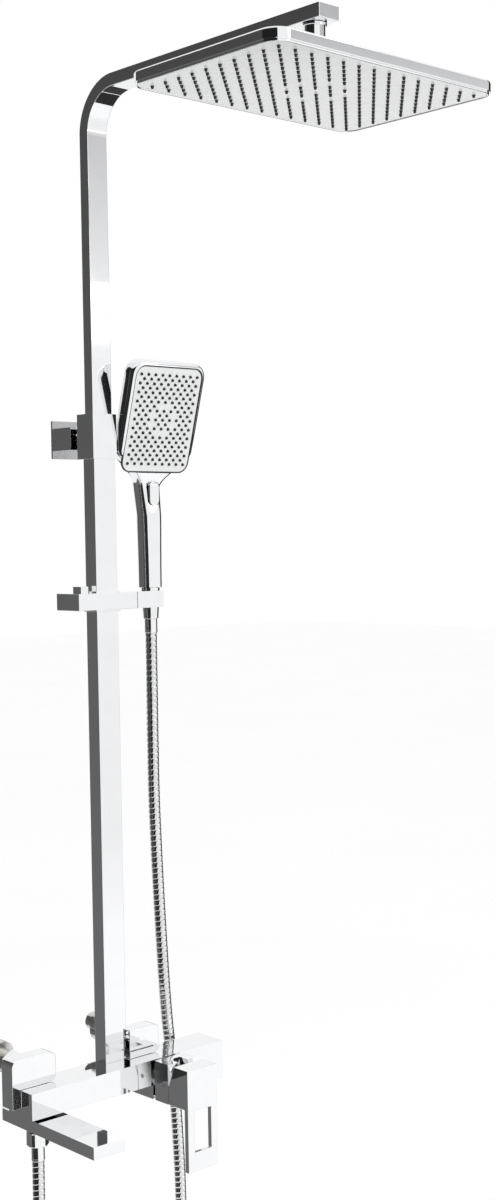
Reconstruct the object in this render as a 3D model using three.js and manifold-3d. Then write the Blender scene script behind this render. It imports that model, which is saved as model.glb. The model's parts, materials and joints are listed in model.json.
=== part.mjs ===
// Wall-mounted rainfall shower column: mixer, telescopic riser, overhead shower, handset and hose.
// Millimetres, +Z up, X along the wall, the wall plane at Y = 0 and the room towards -Y.
// The origin lies midway between the two inlets, on the wall plane, at the height of the inlets.
import * as THREE from 'three';
import * as BufferGeometryUtils from 'three/addons/utils/BufferGeometryUtils.js';
import Module from 'manifold-3d';

const wasm = await Module();
wasm.setup();

// ---------------------------------------------------------------- driving dimensions
const gap = 0.3;            // clearance between two seated pieces
const runningGap = 0.4;     // clearance between pieces that turn on each other
const screwGap = 0.3;       // clearance round a screw or a rod
const overcut = 1;          // how far a cutting tool runs past the face it opens

const inlet = {
  pitch: 150, offset: 8, threadRadius: 10.4, threadLength: 12, boreRadius: 6.5,
  neckRadius: 13, neckLength: 20, tailRadius: 12, tailFront: -50,
  nutAcross: 27, nutLength: 17, sealThickness: 2, elbowRadius: 11.6,
};
const shroud = { width: 59.3, height: 33.8, back: -58, depth: 20.1, radius: 8, wall: 1.5, tailDrop: 20 };
const bar = { left: -93.7, right: 77.3, front: -99, depth: 44.1, height: 29.5 };
const valve = { right: 185.9, height: 45.95, boreRadius: 17.8, boreDepth: 36 };
const waterway = { radius: 5, hotSetback: 9, mixedSetback: 11 };
const cartridge = { radius: 17.5, length: 28, stemRadius: 5, stemReach: 8.5 };
const collar = { radius: 20, wall: 4 };

const lever = {
  gap: 3.5, width: 44.7, housingDepth: 23.5, blockDepth: 27.9, plateThickness: 6, plateDrop: 117.7,
  slotWidth: 24.8, slotTop: 47.9, slotHeight: 47.5, pivotSetback: 7.4, tongueWidth: 15,
  tongueRadius: 6.5, pinRadius: 2.5, liftAngle: 22,
};

const spout = {
  centreX: -68, pivotY: -72, width: 40.8, height: 13.9, reach: 133.8, tail: 39, drop: 2, turn: 1.3,
  pivotRadius: 9.7, channelRadius: 4, aeratorRadius: 11, aeratorHeight: 7, aeratorSetback: 20,
};
const outlet = { retainerRadius: 13, retainerHeight: 6.5, nutAcross: 23, nutHeight: 16, ferruleHeight: 17 };

const riser = {
  right: 60.37, y: -62, width: 30.6, depth: 19.8, sideWall: 1.05, faceWall: 2.2, socket: 4, top: 691.3,
};
const arm = {
  depth: 14.75, wall: 1.5, bottom: 480, top: 1105.3, end: -439.5, bendRadius: 60, capThickness: 2,
};
const clamp = { sideWall: 1.7, front: -73.4, back: -43.4, height: 51.4, hold: 12, screwRadius: 2.5 };
const bracket = {
  plate: 44, plateThickness: 2.6, boxWidth: 43, boxFront: -37, boxHeight: 26, rodRadius: 3,
  rodHold: 18, rodGrip: 5, bossRadius: 8, bossLength: 3, screwPitch: 28, screwRadius: 2,
};

const slider = {
  z: 516.55, leftReach: 28.47, seam: 86.4, right: 125.8, front: -76, depth: 42, height: 19.3,
  sleeveWall: 1.7, sleeveProud: 2.1, sleeveGap: 0.35,
  buttonReach: 13.47, buttonY: -60, buttonWidth: 11, buttonDepth: 15, buttonProud: 8, buttonSunk: 7,
};
const holder = { depth: 28, slotWidth: 15.4, pinRadius: 4, pinReach: 12 };
const handset = {
  x: 118.7, y: -60, z: 530.2, handleWidth: 27, handleDepth: 24, handleRadius: 9, handleHeight: 112,
  headWidth: 111, headHeight: 136, headRadius: 18, headThickness: 20, headTilt: 16.2,
  faceForward: 29.2, faceRise: 194.4, faceMargin: 5.4, faceDepth: 3, faceRadius: 12,
  matMargin: 6, matSunk: 0.7, matThickness: 1.5, matRadius: 7,
  buttonWidth: 16, buttonHeight: 29, buttonRise: 110, buttonProud: 0.6, buttonSunk: 6, buttonRadius: 6,
  neckWidth: 62, neckBottom: 86, neckTop: 170, wall: 2.5,
  waterRadius: 6.5, connectorRadius: 8.2, connectorLength: 12,
};
const coneNut = { topRadius: 11.4, bottomRadius: 9.3, height: 36.7 };
const ferrule = { radius: 8, height: 16.5, outletRadius: 7.6 };
const hose = { radius: 7, sides: 10, steps: 52 };

const head = {
  y: -419, width: 308.4, depth: 210.9, radius: 20, bottom: 1025, bandHeight: 12.9,
  wall: 2.5, rimInset: 1.6, rimHeight: 2, faceThickness: 2.4, matMarginX: 9, matMarginY: 9,
  matSunk: 0.8, matThickness: 1.8, bossRadius: 15, bossHeight: 3,
};
const ball = {
  z: 1054, radius: 8.5, neckRadius: 5.5, nippleRadius: 10.7, nippleBottom: 1067, ringRadius: 12.5,
  ringHeight: 3.2, seatWall: 1.1, cupRadius: 13.2, cupBelow: 12.3, cupAbove: 5, mouthRadius: 8,
};

// The hose hangs from the handset, passes behind the valve, and loops up to the spout's outlet.
const hosePoints = [
  [118.7, -60, 476.1], [118.7, -60, 446], [119, -59.5, 400], [120, -58, 340], [122, -56, 280],
  [126, -53.5, 220], [131, -50.5, 160], [137, -47, 100], [143.5, -43, 45], [150, -39.5, 0],
  [156, -38, -40], [160.5, -38, -85], [163, -39.5, -140], [163.5, -42, -200], [161, -45, -260],
  [155, -48.5, -315], [144, -52.5, -365], [127, -56.5, -408], [104, -60.5, -439], [76, -64, -456],
  [46, -66.5, -460], [16, -68.5, -452], [-12, -70, -431], [-35, -71, -398], [-51, -71.6, -355],
  [-60.5, -72, -305], [-65.5, -72, -250], [-67.5, -72, -195], [-68, -72, -150], [-68, -72, -103],
];

// ---------------------------------------------------------------- derived places
const barTop = -shroud.height / 2;
const barBottom = barTop - bar.height;
const barBack = bar.front + bar.depth;
const valveBottom = barTop - valve.height;
const valveX = bar.right + lever.width / 2;
const valveZ = (barTop + valveBottom) / 2;
const housingBack = bar.front - lever.gap;
const housingFront = housingBack - lever.housingDepth;
const pivotY = housingFront + lever.pivotSetback;
const blockBack = housingFront - runningGap;
const plateBack = blockBack - lever.blockDepth;
const plateFront = plateBack - lever.plateThickness;
const spoutTop = barBottom - spout.drop;
const spoutBottom = spoutTop - spout.height;
const retainerTop = spoutBottom - gap;
const outletNutTop = retainerTop - outlet.retainerHeight - gap;
const outletNutBottom = outletNutTop - outlet.nutHeight;
const riserX = riser.right - riser.width / 2;
const riserLeft = riser.right - riser.width;
const armWidth = riser.width - 2 * (riser.sideWall + gap);
const clampWidth = riser.width + 2 * clamp.sideWall;
const sliderLeft = riserLeft - slider.leftReach;
const sliderButtonX = riserLeft - slider.buttonReach;
const clampBottom = riser.top - clamp.hold;
const clampTop = clampBottom + clamp.height;
const bracketZ = (clampBottom + clampTop) / 2 - 1.2;
const boxBack = -bracket.plateThickness - gap;
const armCentreZ = arm.top - arm.depth / 2;
const headTop = head.bottom + head.bandHeight;
const coneTop = handset.z - gap;
const coneBottom = coneTop - coneNut.height;

// ---------------------------------------------------------------- finishes
const chrome = () => new THREE.MeshStandardMaterial({ color: 0xd9dbde, roughness: 0.06, metalness: 1 });
const brass = () => new THREE.MeshStandardMaterial({ color: 0xc9a55a, roughness: 0.3, metalness: 1 });
const steel = () => new THREE.MeshStandardMaterial({ color: 0xb4b6b8, roughness: 0.3, metalness: 1 });
const paleFace = () => new THREE.MeshStandardMaterial({ color: 0xe4e4e2, roughness: 0.35, metalness: 0 });
const silicone = () => new THREE.MeshStandardMaterial({ color: 0x3a3b3d, roughness: 0.6, metalness: 0 });
const rubber = () => new THREE.MeshStandardMaterial({ color: 0x1b1b1c, roughness: 0.8, metalness: 0 });
const blackPlastic = () => new THREE.MeshStandardMaterial({ color: 0x222224, roughness: 0.5, metalness: 0 });
const hoseSteel = () => new THREE.MeshStandardMaterial({ color: 0xc8cacc, roughness: 0.2, metalness: 1 });

// ---------------------------------------------------------------- solids, joins and cuts
function toSolid(geometry) {
  const bare = geometry.clone();
  bare.deleteAttribute('normal');
  bare.deleteAttribute('uv');
  const merged = BufferGeometryUtils.mergeVertices(bare, 1e-4);
  return new wasm.Manifold(new wasm.Mesh({
    numProp: 3,
    vertProperties: Float32Array.from(merged.attributes.position.array),
    triVerts: Uint32Array.from(merged.index.array),
  }));
}

function toGeometry(solid) {
  const mesh = solid.getMesh();
  const geometry = new THREE.BufferGeometry();
  geometry.setAttribute('position', new THREE.BufferAttribute(Float32Array.from(mesh.vertProperties), 3));
  geometry.setIndex(new THREE.BufferAttribute(Uint32Array.from(mesh.triVerts), 1));
  geometry.computeVertexNormals();
  return geometry;
}

function join(...geometries) {
  const solids = geometries.map(toSolid);
  return toGeometry(solids.reduce((whole, solid) => whole.add(solid)));
}

function cut(geometry, ...tools) {
  const solids = tools.map(toSolid);
  return toGeometry(solids.reduce((whole, solid) => whole.subtract(solid), toSolid(geometry)));
}

function common(first, second) {
  return toGeometry(toSolid(first).intersect(toSolid(second)));
}

// A box between two corners.
function block(x0, x1, y0, y1, z0, z1) {
  const geometry = new THREE.BoxGeometry(Math.abs(x1 - x0), Math.abs(y1 - y0), Math.abs(z1 - z0));
  return geometry.translate((x0 + x1) / 2, (y0 + y1) / 2, (z0 + z1) / 2);
}

// A cylinder along one axis, from one coordinate to another, round a centre in the other two.
function rod(axis, radius, from, to, centre = [0, 0], sides = 24) {
  const geometry = new THREE.CylinderGeometry(radius, radius, Math.abs(to - from), sides);
  const middle = (from + to) / 2;
  if (axis === 'x') return geometry.rotateZ(Math.PI / 2).translate(middle, centre[0], centre[1]);
  if (axis === 'y') return geometry.translate(centre[0], middle, centre[1]);
  return geometry.rotateX(Math.PI / 2).translate(centre[0], centre[1], middle);
}

function ring(axis, outer, inner, from, to, centre = [0, 0], sides = 32) {
  const low = Math.min(from, to) - overcut;
  const high = Math.max(from, to) + overcut;
  return cut(rod(axis, outer, from, to, centre, sides), rod(axis, inner, low, high, centre, sides));
}

// A hexagonal nut: round Y its flats face along X, and round Z they face along X too.
function hexNut(axis, across, inner, from, to, centre) {
  const low = Math.min(from, to) - overcut;
  const high = Math.max(from, to) + overcut;
  const corner = across / Math.sqrt(3);
  const nut = new THREE.CylinderGeometry(corner, corner, Math.abs(to - from), 6);
  if (axis === 'y') nut.translate(centre[0], (from + to) / 2, centre[1]);
  else nut.rotateX(Math.PI / 2).translate(centre[0], centre[1], (from + to) / 2);
  return cut(nut, rod(axis, inner, low, high, centre));
}

function roundedRectangle(width, height, radius) {
  const x = width / 2;
  const y = height / 2;
  const shape = new THREE.Shape();
  shape.moveTo(-x + radius, -y);
  shape.lineTo(x - radius, -y);
  shape.absarc(x - radius, -y + radius, radius, -Math.PI / 2, 0);
  shape.lineTo(x, y - radius);
  shape.absarc(x - radius, y - radius, radius, 0, Math.PI / 2);
  shape.lineTo(-x + radius, y);
  shape.absarc(-x + radius, y - radius, radius, Math.PI / 2, Math.PI);
  shape.lineTo(-x, -y + radius);
  shape.absarc(-x + radius, -y + radius, radius, Math.PI, Math.PI * 1.5);
  return shape;
}

// A flat slab with rounded corners, lying on z = 0 and rising by its thickness.
function slab(width, height, radius, thickness) {
  return new THREE.ExtrudeGeometry(roundedRectangle(width, height, radius),
    { depth: thickness, bevelEnabled: false, curveSegments: 5 });
}

function piece(name, geometry, material) {
  const mesh = new THREE.Mesh(geometry, material);
  mesh.name = name;
  return mesh;
}

const column = new THREE.Group();

// ---------------------------------------------------------------- inlets: unions, nuts, seals, shrouds
// An eccentric union: its wall thread is higher than its tail by the offset, and water runs through.
function inletUnion(name, x) {
  const wallEnd = inlet.threadLength;
  const thread = rod('y', inlet.threadRadius, wallEnd, -overcut, [x, inlet.offset]);
  const neckHigh = rod('y', inlet.neckRadius, 0, -inlet.neckLength, [x, inlet.offset]);
  const neckLow = rod('y', inlet.neckRadius, 0, -inlet.neckLength, [x, 0]);
  const tail = rod('y', inlet.tailRadius, -overcut, inlet.tailFront, [x, 0]);
  const wallBore = rod('y', inlet.boreRadius, wallEnd + overcut, -inlet.neckLength / 2, [x, inlet.offset], 16);
  const tailBore = rod('y', inlet.boreRadius, -inlet.neckLength / 2, inlet.tailFront - overcut, [x, 0], 16);
  return piece(name, cut(join(thread, neckHigh, neckLow, tail), wallBore, tailBore), brass());
}

function unionNut(name, x) {
  const back = inlet.tailFront + inlet.nutLength - inlet.sealThickness - 2 * gap;
  const nut = hexNut('y', inlet.nutAcross, inlet.tailRadius + screwGap, back, shroud.back + gap, [x, 0]);
  return piece(name, nut, chrome());
}

function inletSeal(name, x) {
  const back = inlet.tailFront - gap;
  const seal = ring('y', inlet.tailRadius - gap, inlet.boreRadius, back, back - inlet.sealThickness, [x, 0], 20);
  return piece(name, seal, rubber());
}

// A thin cover with a closed front, standing on the bar. The left one also drops beside the bar's end,
// and the right one stops at the riser's side.
function inletShroud(name, x, hasTail) {
  const place = (geometry, y, z) => geometry.rotateX(Math.PI / 2).translate(x, y, z);
  const front = shroud.back - shroud.depth;
  let cover = place(slab(shroud.width, shroud.height - gap, shroud.radius, shroud.depth), shroud.back, gap / 2);
  const inner = place(slab(shroud.width - 2 * shroud.wall, shroud.height - 2 * shroud.wall,
    shroud.radius - shroud.wall, shroud.depth), shroud.back + shroud.wall, 0);
  const foot = block(x - inlet.elbowRadius - runningGap, x + inlet.elbowRadius + runningGap,
    front + shroud.wall, shroud.back + overcut, -shroud.height / 2 - overcut, 0);
  if (hasTail) {
    const left = x - shroud.width / 2;
    const tail = block(left, bar.left - gap, front, shroud.back, barTop - shroud.tailDrop, 0);
    cover = join(cover, tail);
  }
  const riserSide = riser.width / 2 + gap;
  const notch = block(riserX - riserSide, riserX + riserSide, front - overcut, shroud.back + overcut,
    -shroud.height, shroud.height);
  return piece(name, cut(cover, inner, foot, notch), chrome());
}

for (const [side, x] of [['left', -inlet.pitch / 2], ['right', inlet.pitch / 2]]) {
  column.add(inletUnion(`${side}_inlet_union`, x));
  column.add(unionNut(`${side}_union_nut`, x));
  column.add(inletSeal(`${side}_inlet_seal`, x));
  column.add(inletShroud(`${side}_inlet_shroud`, x, side === 'left'));
}

// ---------------------------------------------------------------- mixer body and cartridge
// The elbow rises from the bar inside the shroud and meets the union's seal.
function elbow(x) {
  const back = inlet.tailFront - inlet.sealThickness - 2 * gap;
  const front = shroud.back - shroud.depth + shroud.wall + runningGap;
  const level = rod('y', inlet.elbowRadius, front, back, [x, 0], 20);
  const post = block(x - inlet.elbowRadius, x + inlet.elbowRadius, front, shroud.back, barTop - overcut, 0);
  return join(level, post);
}

function elbowBore(x) {
  const level = rod('y', inlet.boreRadius, inlet.tailFront, (shroud.back - shroud.depth / 2), [x, 0], 12);
  const y = barBack - waterway.hotSetback;
  const fall = rod('z', waterway.radius, 0, (barTop + barBottom) / 2, [x, y], 12);
  return join(level, fall);
}

function mixerBody() {
  const barBox = block(bar.left, bar.right + overcut, bar.front, barBack, barBottom, barTop);
  const valveBox = block(bar.right, valve.right, bar.front, barBack, valveBottom, barTop);
  const body = join(barBox, valveBox, elbow(-inlet.pitch / 2), elbow(inlet.pitch / 2));
  const middle = (barTop + barBottom) / 2;
  const bore = rod('y', valve.boreRadius, bar.front - overcut, bar.front + valve.boreDepth, [valveX, valveZ], 32);
  const hotY = barBack - waterway.hotSetback;
  const mixedY = bar.front + waterway.mixedSetback;
  const hot = rod('x', waterway.radius, -inlet.pitch / 2, inlet.pitch / 4, [hotY, middle], 12);
  const mixed = rod('x', waterway.radius, spout.centreX, valveX, [mixedY, middle], 12);
  const rise = rod('z', waterway.radius, middle, barTop + overcut, [riserX, riser.y], 12);
  const socket = block(riserX - riser.width / 2 - gap, riserX + riser.width / 2 + gap,
    riser.y - riser.depth / 2 - gap, riser.y + riser.depth / 2 + gap, barTop - riser.socket, barTop + overcut);
  const drop = rod('z', spout.pivotRadius + gap, middle, barBottom - overcut, [spout.centreX, spout.pivotY], 24);
  const cuts = [bore, hot, mixed, rise, socket, drop, elbowBore(-inlet.pitch / 2), elbowBore(inlet.pitch / 2)];
  return piece('mixer_body', cut(body, ...cuts), chrome());
}

function cartridgeBody() {
  const back = bar.front + valve.boreDepth - gap;
  const can = rod('y', cartridge.radius, back, back - cartridge.length, [valveX, valveZ], 32);
  const mouth = rod('y', cartridge.stemRadius + runningGap, back - cartridge.length / 2,
    back - cartridge.length - overcut, [valveX, valveZ], 20);
  return piece('cartridge', cut(can, mouth), blackPlastic());
}

// The retaining nut screws into the valve's bore and its collar shows behind the lever's housing.
function cartridgeNut() {
  const inner = bar.front + valve.boreDepth - cartridge.length - 2 * gap;
  const shank = rod('y', cartridge.radius, inner, bar.front - gap, [valveX, valveZ], 32);
  const flange = rod('y', collar.radius, bar.front - gap, housingBack + runningGap, [valveX, valveZ], 32);
  const hole = rod('y', collar.radius - 2 * collar.wall, inner + overcut, housingBack - overcut, [valveX, valveZ]);
  return piece('cartridge_nut', cut(join(shank, flange), hole), brass());
}

function cartridgeStem() {
  const back = bar.front + valve.boreDepth - cartridge.length / 2 - gap - runningGap;
  const front = housingBack - cartridge.stemReach;
  return piece('cartridge_stem', rod('y', cartridge.stemRadius, back, front, [valveX, valveZ], 20), brass());
}

column.add(mixerBody(), cartridgeBody(), cartridgeNut(), cartridgeStem());

// ---------------------------------------------------------------- lever: housing, pin and slotted handle
function leverHousing() {
  const half = lever.width / 2;
  const box = block(valveX - half, valveX + half, housingFront, housingBack, valveBottom, barTop);
  const stemHole = rod('y', cartridge.stemRadius + gap, housingBack + overcut,
    housingBack - cartridge.stemReach - gap, [valveX, valveZ], 20);
  const tongueSlot = block(valveX - lever.tongueWidth / 2 - gap, valveX + lever.tongueWidth / 2 + gap,
    housingFront - overcut, pivotY + lever.tongueRadius + runningGap,
    valveZ - half + 2 * runningGap + 2, barTop + overcut);
  const pinHole = rod('x', lever.pinRadius + screwGap, valveX - half - overcut, valveX + half + overcut,
    [pivotY, valveZ], 16);
  return piece('lever_housing', cut(box, stemHole, tongueSlot, pinHole), chrome());
}

function leverPin() {
  const half = lever.width / 2 - gap;
  return piece('lever_pin', rod('x', lever.pinRadius, valveX - half, valveX + half, [pivotY, valveZ], 16), steel());
}

// The handle's block is cut back above its pivot, so that it can tip up against the housing.
function leverHandle() {
  const half = lever.width / 2;
  const bodyBox = block(valveX - half, valveX + half, plateBack - overcut, blockBack, valveBottom, barTop);
  const plate = block(valveX - half, valveX + half, plateFront, plateBack, barTop - lever.plateDrop, barTop);
  const tongueHalf = lever.tongueWidth / 2;
  const tongueEnd = rod('x', lever.tongueRadius, valveX - tongueHalf, valveX + tongueHalf, [pivotY, valveZ], 20);
  const tongue = block(valveX - tongueHalf, valveX + tongueHalf, blockBack - lever.tongueRadius, pivotY,
    valveZ - lever.tongueRadius, valveZ + lever.tongueRadius);
  const reach = valve.height;
  const wedge = block(valveX - half - overcut, valveX + half + overcut, 0, reach, 0, 2 * reach);
  const lift = THREE.MathUtils.degToRad(lever.liftAngle);
  wedge.rotateX(lift).translate(0, blockBack, valveZ - 2);
  const slot = block(valveX - lever.slotWidth / 2, valveX + lever.slotWidth / 2,
    plateFront - overcut, plateBack + overcut,
    barTop - lever.slotTop - lever.slotHeight, barTop - lever.slotTop);
  const pinHole = rod('x', lever.pinRadius + screwGap, valveX - tongueHalf - overcut, valveX + tongueHalf + overcut,
    [pivotY, valveZ], 16);
  const body = join(cut(join(bodyBox, plate), wedge, slot), tongue, tongueEnd);
  return piece('lever', cut(body, pinHole), chrome());
}

column.add(leverHousing(), leverPin(), leverHandle());

// ---------------------------------------------------------------- spout, its pivot and the hose outlet
// The swivelling spout is a flat bar, drilled for its pivot, for the water and for the aerator.
function spoutBody() {
  const beam = block(-spout.width / 2, spout.width / 2, -spout.reach, spout.tail, spoutBottom, spoutTop);
  const pivot = rod('z', spout.pivotRadius + gap, spoutBottom - overcut, spoutTop + overcut, [0, 0]);
  const channel = rod('y', spout.channelRadius, 0, -spout.reach + spout.aeratorSetback,
    [0, (spoutTop + spoutBottom) / 2], 12);
  const pocket = rod('z', spout.aeratorRadius + gap, spoutBottom - overcut,
    spoutBottom + spout.aeratorHeight + gap, [0, -spout.reach + spout.aeratorSetback]);
  return piece('spout', cut(beam, pivot, channel, pocket), chrome());
}

function aerator() {
  const y = -spout.reach + spout.aeratorSetback;
  const insert = ring('z', spout.aeratorRadius, spout.aeratorRadius - 4, spoutBottom,
    spoutBottom + spout.aeratorHeight, [0, y], 24);
  return piece('aerator', insert, paleFace());
}

const spoutGroup = new THREE.Group();
spoutGroup.position.set(spout.centreX, spout.pivotY, 0);
spoutGroup.rotation.z = THREE.MathUtils.degToRad(-spout.turn);
spoutGroup.add(spoutBody(), aerator());
column.add(spoutGroup);

function spoutPivot() {
  const top = (barTop + barBottom) / 2 - gap;
  const tube = ring('z', spout.pivotRadius, inlet.boreRadius, outletNutBottom + gap, top, [0, 0], 24);
  const port = rod('y', spout.channelRadius, 0, -spout.pivotRadius - overcut,
    [0, (spoutTop + spoutBottom) / 2], 12);
  return piece('spout_pivot', cut(tube, port), brass());
}

function outletPieces() {
  const bore = spout.pivotRadius + screwGap;
  const washer = ring('z', outlet.retainerRadius, bore, spoutTop + gap, barBottom - gap, [0, 0], 24);
  const retainer = ring('z', outlet.retainerRadius, bore, retainerTop - outlet.retainerHeight, retainerTop, [0, 0], 24);
  const nut = hexNut('z', outlet.nutAcross, bore, outletNutBottom, outletNutTop, [0, 0]);
  const sleeve = ring('z', ferrule.outletRadius, ferrule.outletRadius - 2,
    outletNutBottom - gap - outlet.ferruleHeight, outletNutBottom - gap, [0, 0], 20);
  return [
    piece('spout_washer', washer, blackPlastic()),
    piece('spout_retainer', retainer, chrome()),
    piece('hose_outlet_nut', nut, chrome()),
    piece('hose_outlet_ferrule', sleeve, chrome()),
  ];
}

const outletGroup = new THREE.Group();
outletGroup.position.set(spout.centreX, spout.pivotY, 0);
outletGroup.add(spoutPivot(), ...outletPieces());
column.add(outletGroup);

// ---------------------------------------------------------------- riser, clamp and wall bracket
function lowerRiser() {
  const bottom = barTop - riser.socket + gap;
  const x = riser.width / 2;
  const y = riser.depth / 2;
  const tube = block(-x, x, -y, y, bottom, riser.top);
  const bore = block(-x + riser.sideWall, x - riser.sideWall, -y + riser.faceWall, y - riser.faceWall,
    bottom - overcut, riser.top + overcut);
  return piece('lower_riser', cut(tube, bore), chrome());
}

// The upper riser and the arm are one bent tube: an L-shaped outline with a round outer corner, hollowed.
function bentOutline(inset, extra) {
  const front = riser.y - arm.depth / 2 + inset;
  const back = riser.y + arm.depth / 2 - inset;
  const top = arm.top - inset;
  const under = arm.top - arm.depth + inset;
  const end = arm.end + arm.capThickness + gap;
  const outer = arm.bendRadius - inset;
  const inner = arm.bendRadius - arm.depth + inset;
  const shape = new THREE.Shape();
  shape.moveTo(back, arm.bottom - extra);
  shape.lineTo(back, top - outer);
  shape.absarc(back - outer, top - outer, outer, 0, Math.PI / 2);
  shape.lineTo(end - extra, top);
  shape.lineTo(end - extra, under);
  shape.lineTo(front - inner, under);
  shape.absarc(front - inner, under - inner, inner, Math.PI / 2, 0, true);
  shape.lineTo(front, arm.bottom - extra);
  return shape;
}

function bentTube(width, inset, extra) {
  const tube = new THREE.ExtrudeGeometry(bentOutline(inset, extra),
    { depth: width, bevelEnabled: false, curveSegments: 12 });
  return tube.rotateX(Math.PI / 2).rotateZ(Math.PI / 2).translate(-width / 2, 0, 0);
}

function upperRiser() {
  const outer = bentTube(armWidth, 0, 0);
  const inner = bentTube(armWidth - 2 * arm.wall, arm.wall, overcut);
  const port = rod('z', inlet.boreRadius, arm.top - arm.depth - overcut, armCentreZ, [0, head.y], 16);
  return piece('upper_riser_arm', cut(outer, inner, port), chrome());
}

function armEndCap() {
  const x = armWidth / 2;
  const cap = block(-x, x, arm.end, arm.end + arm.capThickness, arm.top - arm.depth, arm.top);
  const inset = arm.wall + gap;
  const plug = block(-x + inset, x - inset, arm.end + overcut, arm.end + 4 * arm.capThickness,
    arm.top - arm.depth + inset, arm.top - inset);
  return piece('arm_end_cap', join(cap, plug), chrome());
}

function riserClamp() {
  const x = clampWidth / 2;
  const box = block(-x, x, clamp.front, clamp.back, clampBottom, clampTop);
  const holdX = riser.width / 2 + gap;
  const holdY = riser.depth / 2 + gap;
  const hold = block(-holdX, holdX, riser.y - holdY, riser.y + holdY, clampBottom - overcut, riser.top + gap);
  const passX = armWidth / 2 + runningGap;
  const passY = arm.depth / 2 + runningGap;
  const pass = block(-passX, passX, riser.y - passY, riser.y + passY, clampBottom, clampTop + overcut);
  const rodHole = rod('y', bracket.rodRadius + screwGap, clamp.back - bracket.rodGrip - gap, clamp.back + overcut,
    [0, bracketZ], 16);
  const screwHole = rod('x', clamp.screwRadius + screwGap, armWidth / 2, x + overcut,
    [riser.y, clampTop - clamp.height / 4], 16);
  return piece('riser_clamp', cut(box, hold, pass, rodHole, screwHole), chrome());
}

function clampScrew() {
  const x = clampWidth / 2;
  const screw = rod('x', clamp.screwRadius, armWidth / 2 + runningGap, x - overcut / 2,
    [riser.y, clampTop - clamp.height / 4], 16);
  return piece('clamp_screw', screw, steel());
}

function bracketPieces() {
  const half = bracket.boxWidth / 2;
  const low = bracketZ - bracket.boxHeight / 2;
  const high = bracketZ + bracket.boxHeight / 2;
  const plateHalf = bracket.plate / 2;
  const plate = block(-plateHalf, plateHalf, -bracket.plateThickness, 0, bracketZ - plateHalf, bracketZ + plateHalf);
  const screwPlaces = [-bracket.screwPitch / 2, bracket.screwPitch / 2];
  const screwHoles = screwPlaces.map((x) => rod('y', bracket.screwRadius + screwGap,
    -bracket.plateThickness - overcut, overcut, [x, bracketZ], 12));
  const headPockets = screwPlaces.map((x) => rod('y', 2 * bracket.screwRadius + screwGap,
    boxBack - bracket.screwRadius - gap, boxBack + overcut, [x, bracketZ], 16));
  const box = block(-half, half, bracket.boxFront, boxBack, low, high);
  const rodBack = bracket.boxFront + bracket.rodHold;
  const rodHole = rod('y', bracket.rodRadius + screwGap, bracket.boxFront - overcut, rodBack + gap, [0, bracketZ], 16);
  const setHole = rod('z', bracket.screwRadius + screwGap, bracketZ, high + overcut,
    [0, bracket.boxFront + bracket.rodHold / 2], 12);
  const rodFront = clamp.back - bracket.rodGrip;
  const boss = ring('y', bracket.bossRadius, bracket.rodRadius + screwGap, clamp.back + gap,
    clamp.back + gap + bracket.bossLength, [0, bracketZ], 24);
  const setScrew = rod('z', bracket.screwRadius, bracketZ + bracket.rodRadius + screwGap, high + overcut,
    [0, bracket.boxFront + bracket.rodHold / 2], 12);
  return [
    piece('wall_plate', cut(plate, ...screwHoles), steel()),
    piece('bracket_box', cut(box, rodHole, setHole, ...headPockets), chrome()),
    piece('bracket_rod', rod('y', bracket.rodRadius, rodFront, rodBack, [0, bracketZ], 16), steel()),
    piece('bracket_boss', boss, chrome()),
    piece('bracket_set_screw', setScrew, steel()),
  ];
}

const riserGroup = new THREE.Group();
riserGroup.position.x = riserX;
const lowerTube = lowerRiser();
lowerTube.position.y = riser.y;
riserGroup.add(lowerTube, upperRiser(), armEndCap(), riserClamp(), clampScrew(), ...bracketPieces());
column.add(riserGroup);

// ---------------------------------------------------------------- overhead shower on its ball joint
function armNipple() {
  const under = arm.top - arm.depth - gap;
  const stub = rod('z', ball.nippleRadius, ball.nippleBottom, under, [0, 0], 24);
  const neck = rod('z', ball.neckRadius, ball.z, ball.nippleBottom + overcut, [0, 0], 20);
  const sphere = new THREE.SphereGeometry(ball.radius, 20, 12).rotateX(Math.PI / 2).translate(0, 0, ball.z);
  const bore = rod('z', ball.neckRadius / 2, ball.z - ball.radius - overcut, under + overcut, [0, 0], 12);
  return piece('arm_nipple', cut(join(stub, neck, sphere), bore), chrome());
}

function armRingNut() {
  const top = arm.top - arm.depth - gap;
  const nut = ring('z', ball.ringRadius, ball.nippleRadius + gap, top - ball.ringHeight, top, [0, 0], 28);
  return piece('arm_ring_nut', nut, chrome());
}

// A band of a spherical shell between the ball and its cup.
function ballSeat() {
  const inner = ball.radius + gap;
  const outer = inner + ball.seatWall;
  const from = THREE.MathUtils.degToRad(-20);
  const to = THREE.MathUtils.degToRad(28);
  const steps = 5;
  const profile = [];
  for (let i = 0; i <= steps; i += 1) {
    const a = from + ((to - from) * i) / steps;
    profile.push(new THREE.Vector2(outer * Math.cos(a), outer * Math.sin(a)));
  }
  for (let i = steps; i >= 0; i -= 1) {
    const a = from + ((to - from) * i) / steps;
    profile.push(new THREE.Vector2(inner * Math.cos(a), inner * Math.sin(a)));
  }
  profile.push(profile[0].clone());
  const seat = new THREE.LatheGeometry(profile, 24).rotateX(Math.PI / 2).translate(0, 0, ball.z);
  return piece('ball_seat', seat, paleFace());
}

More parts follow.
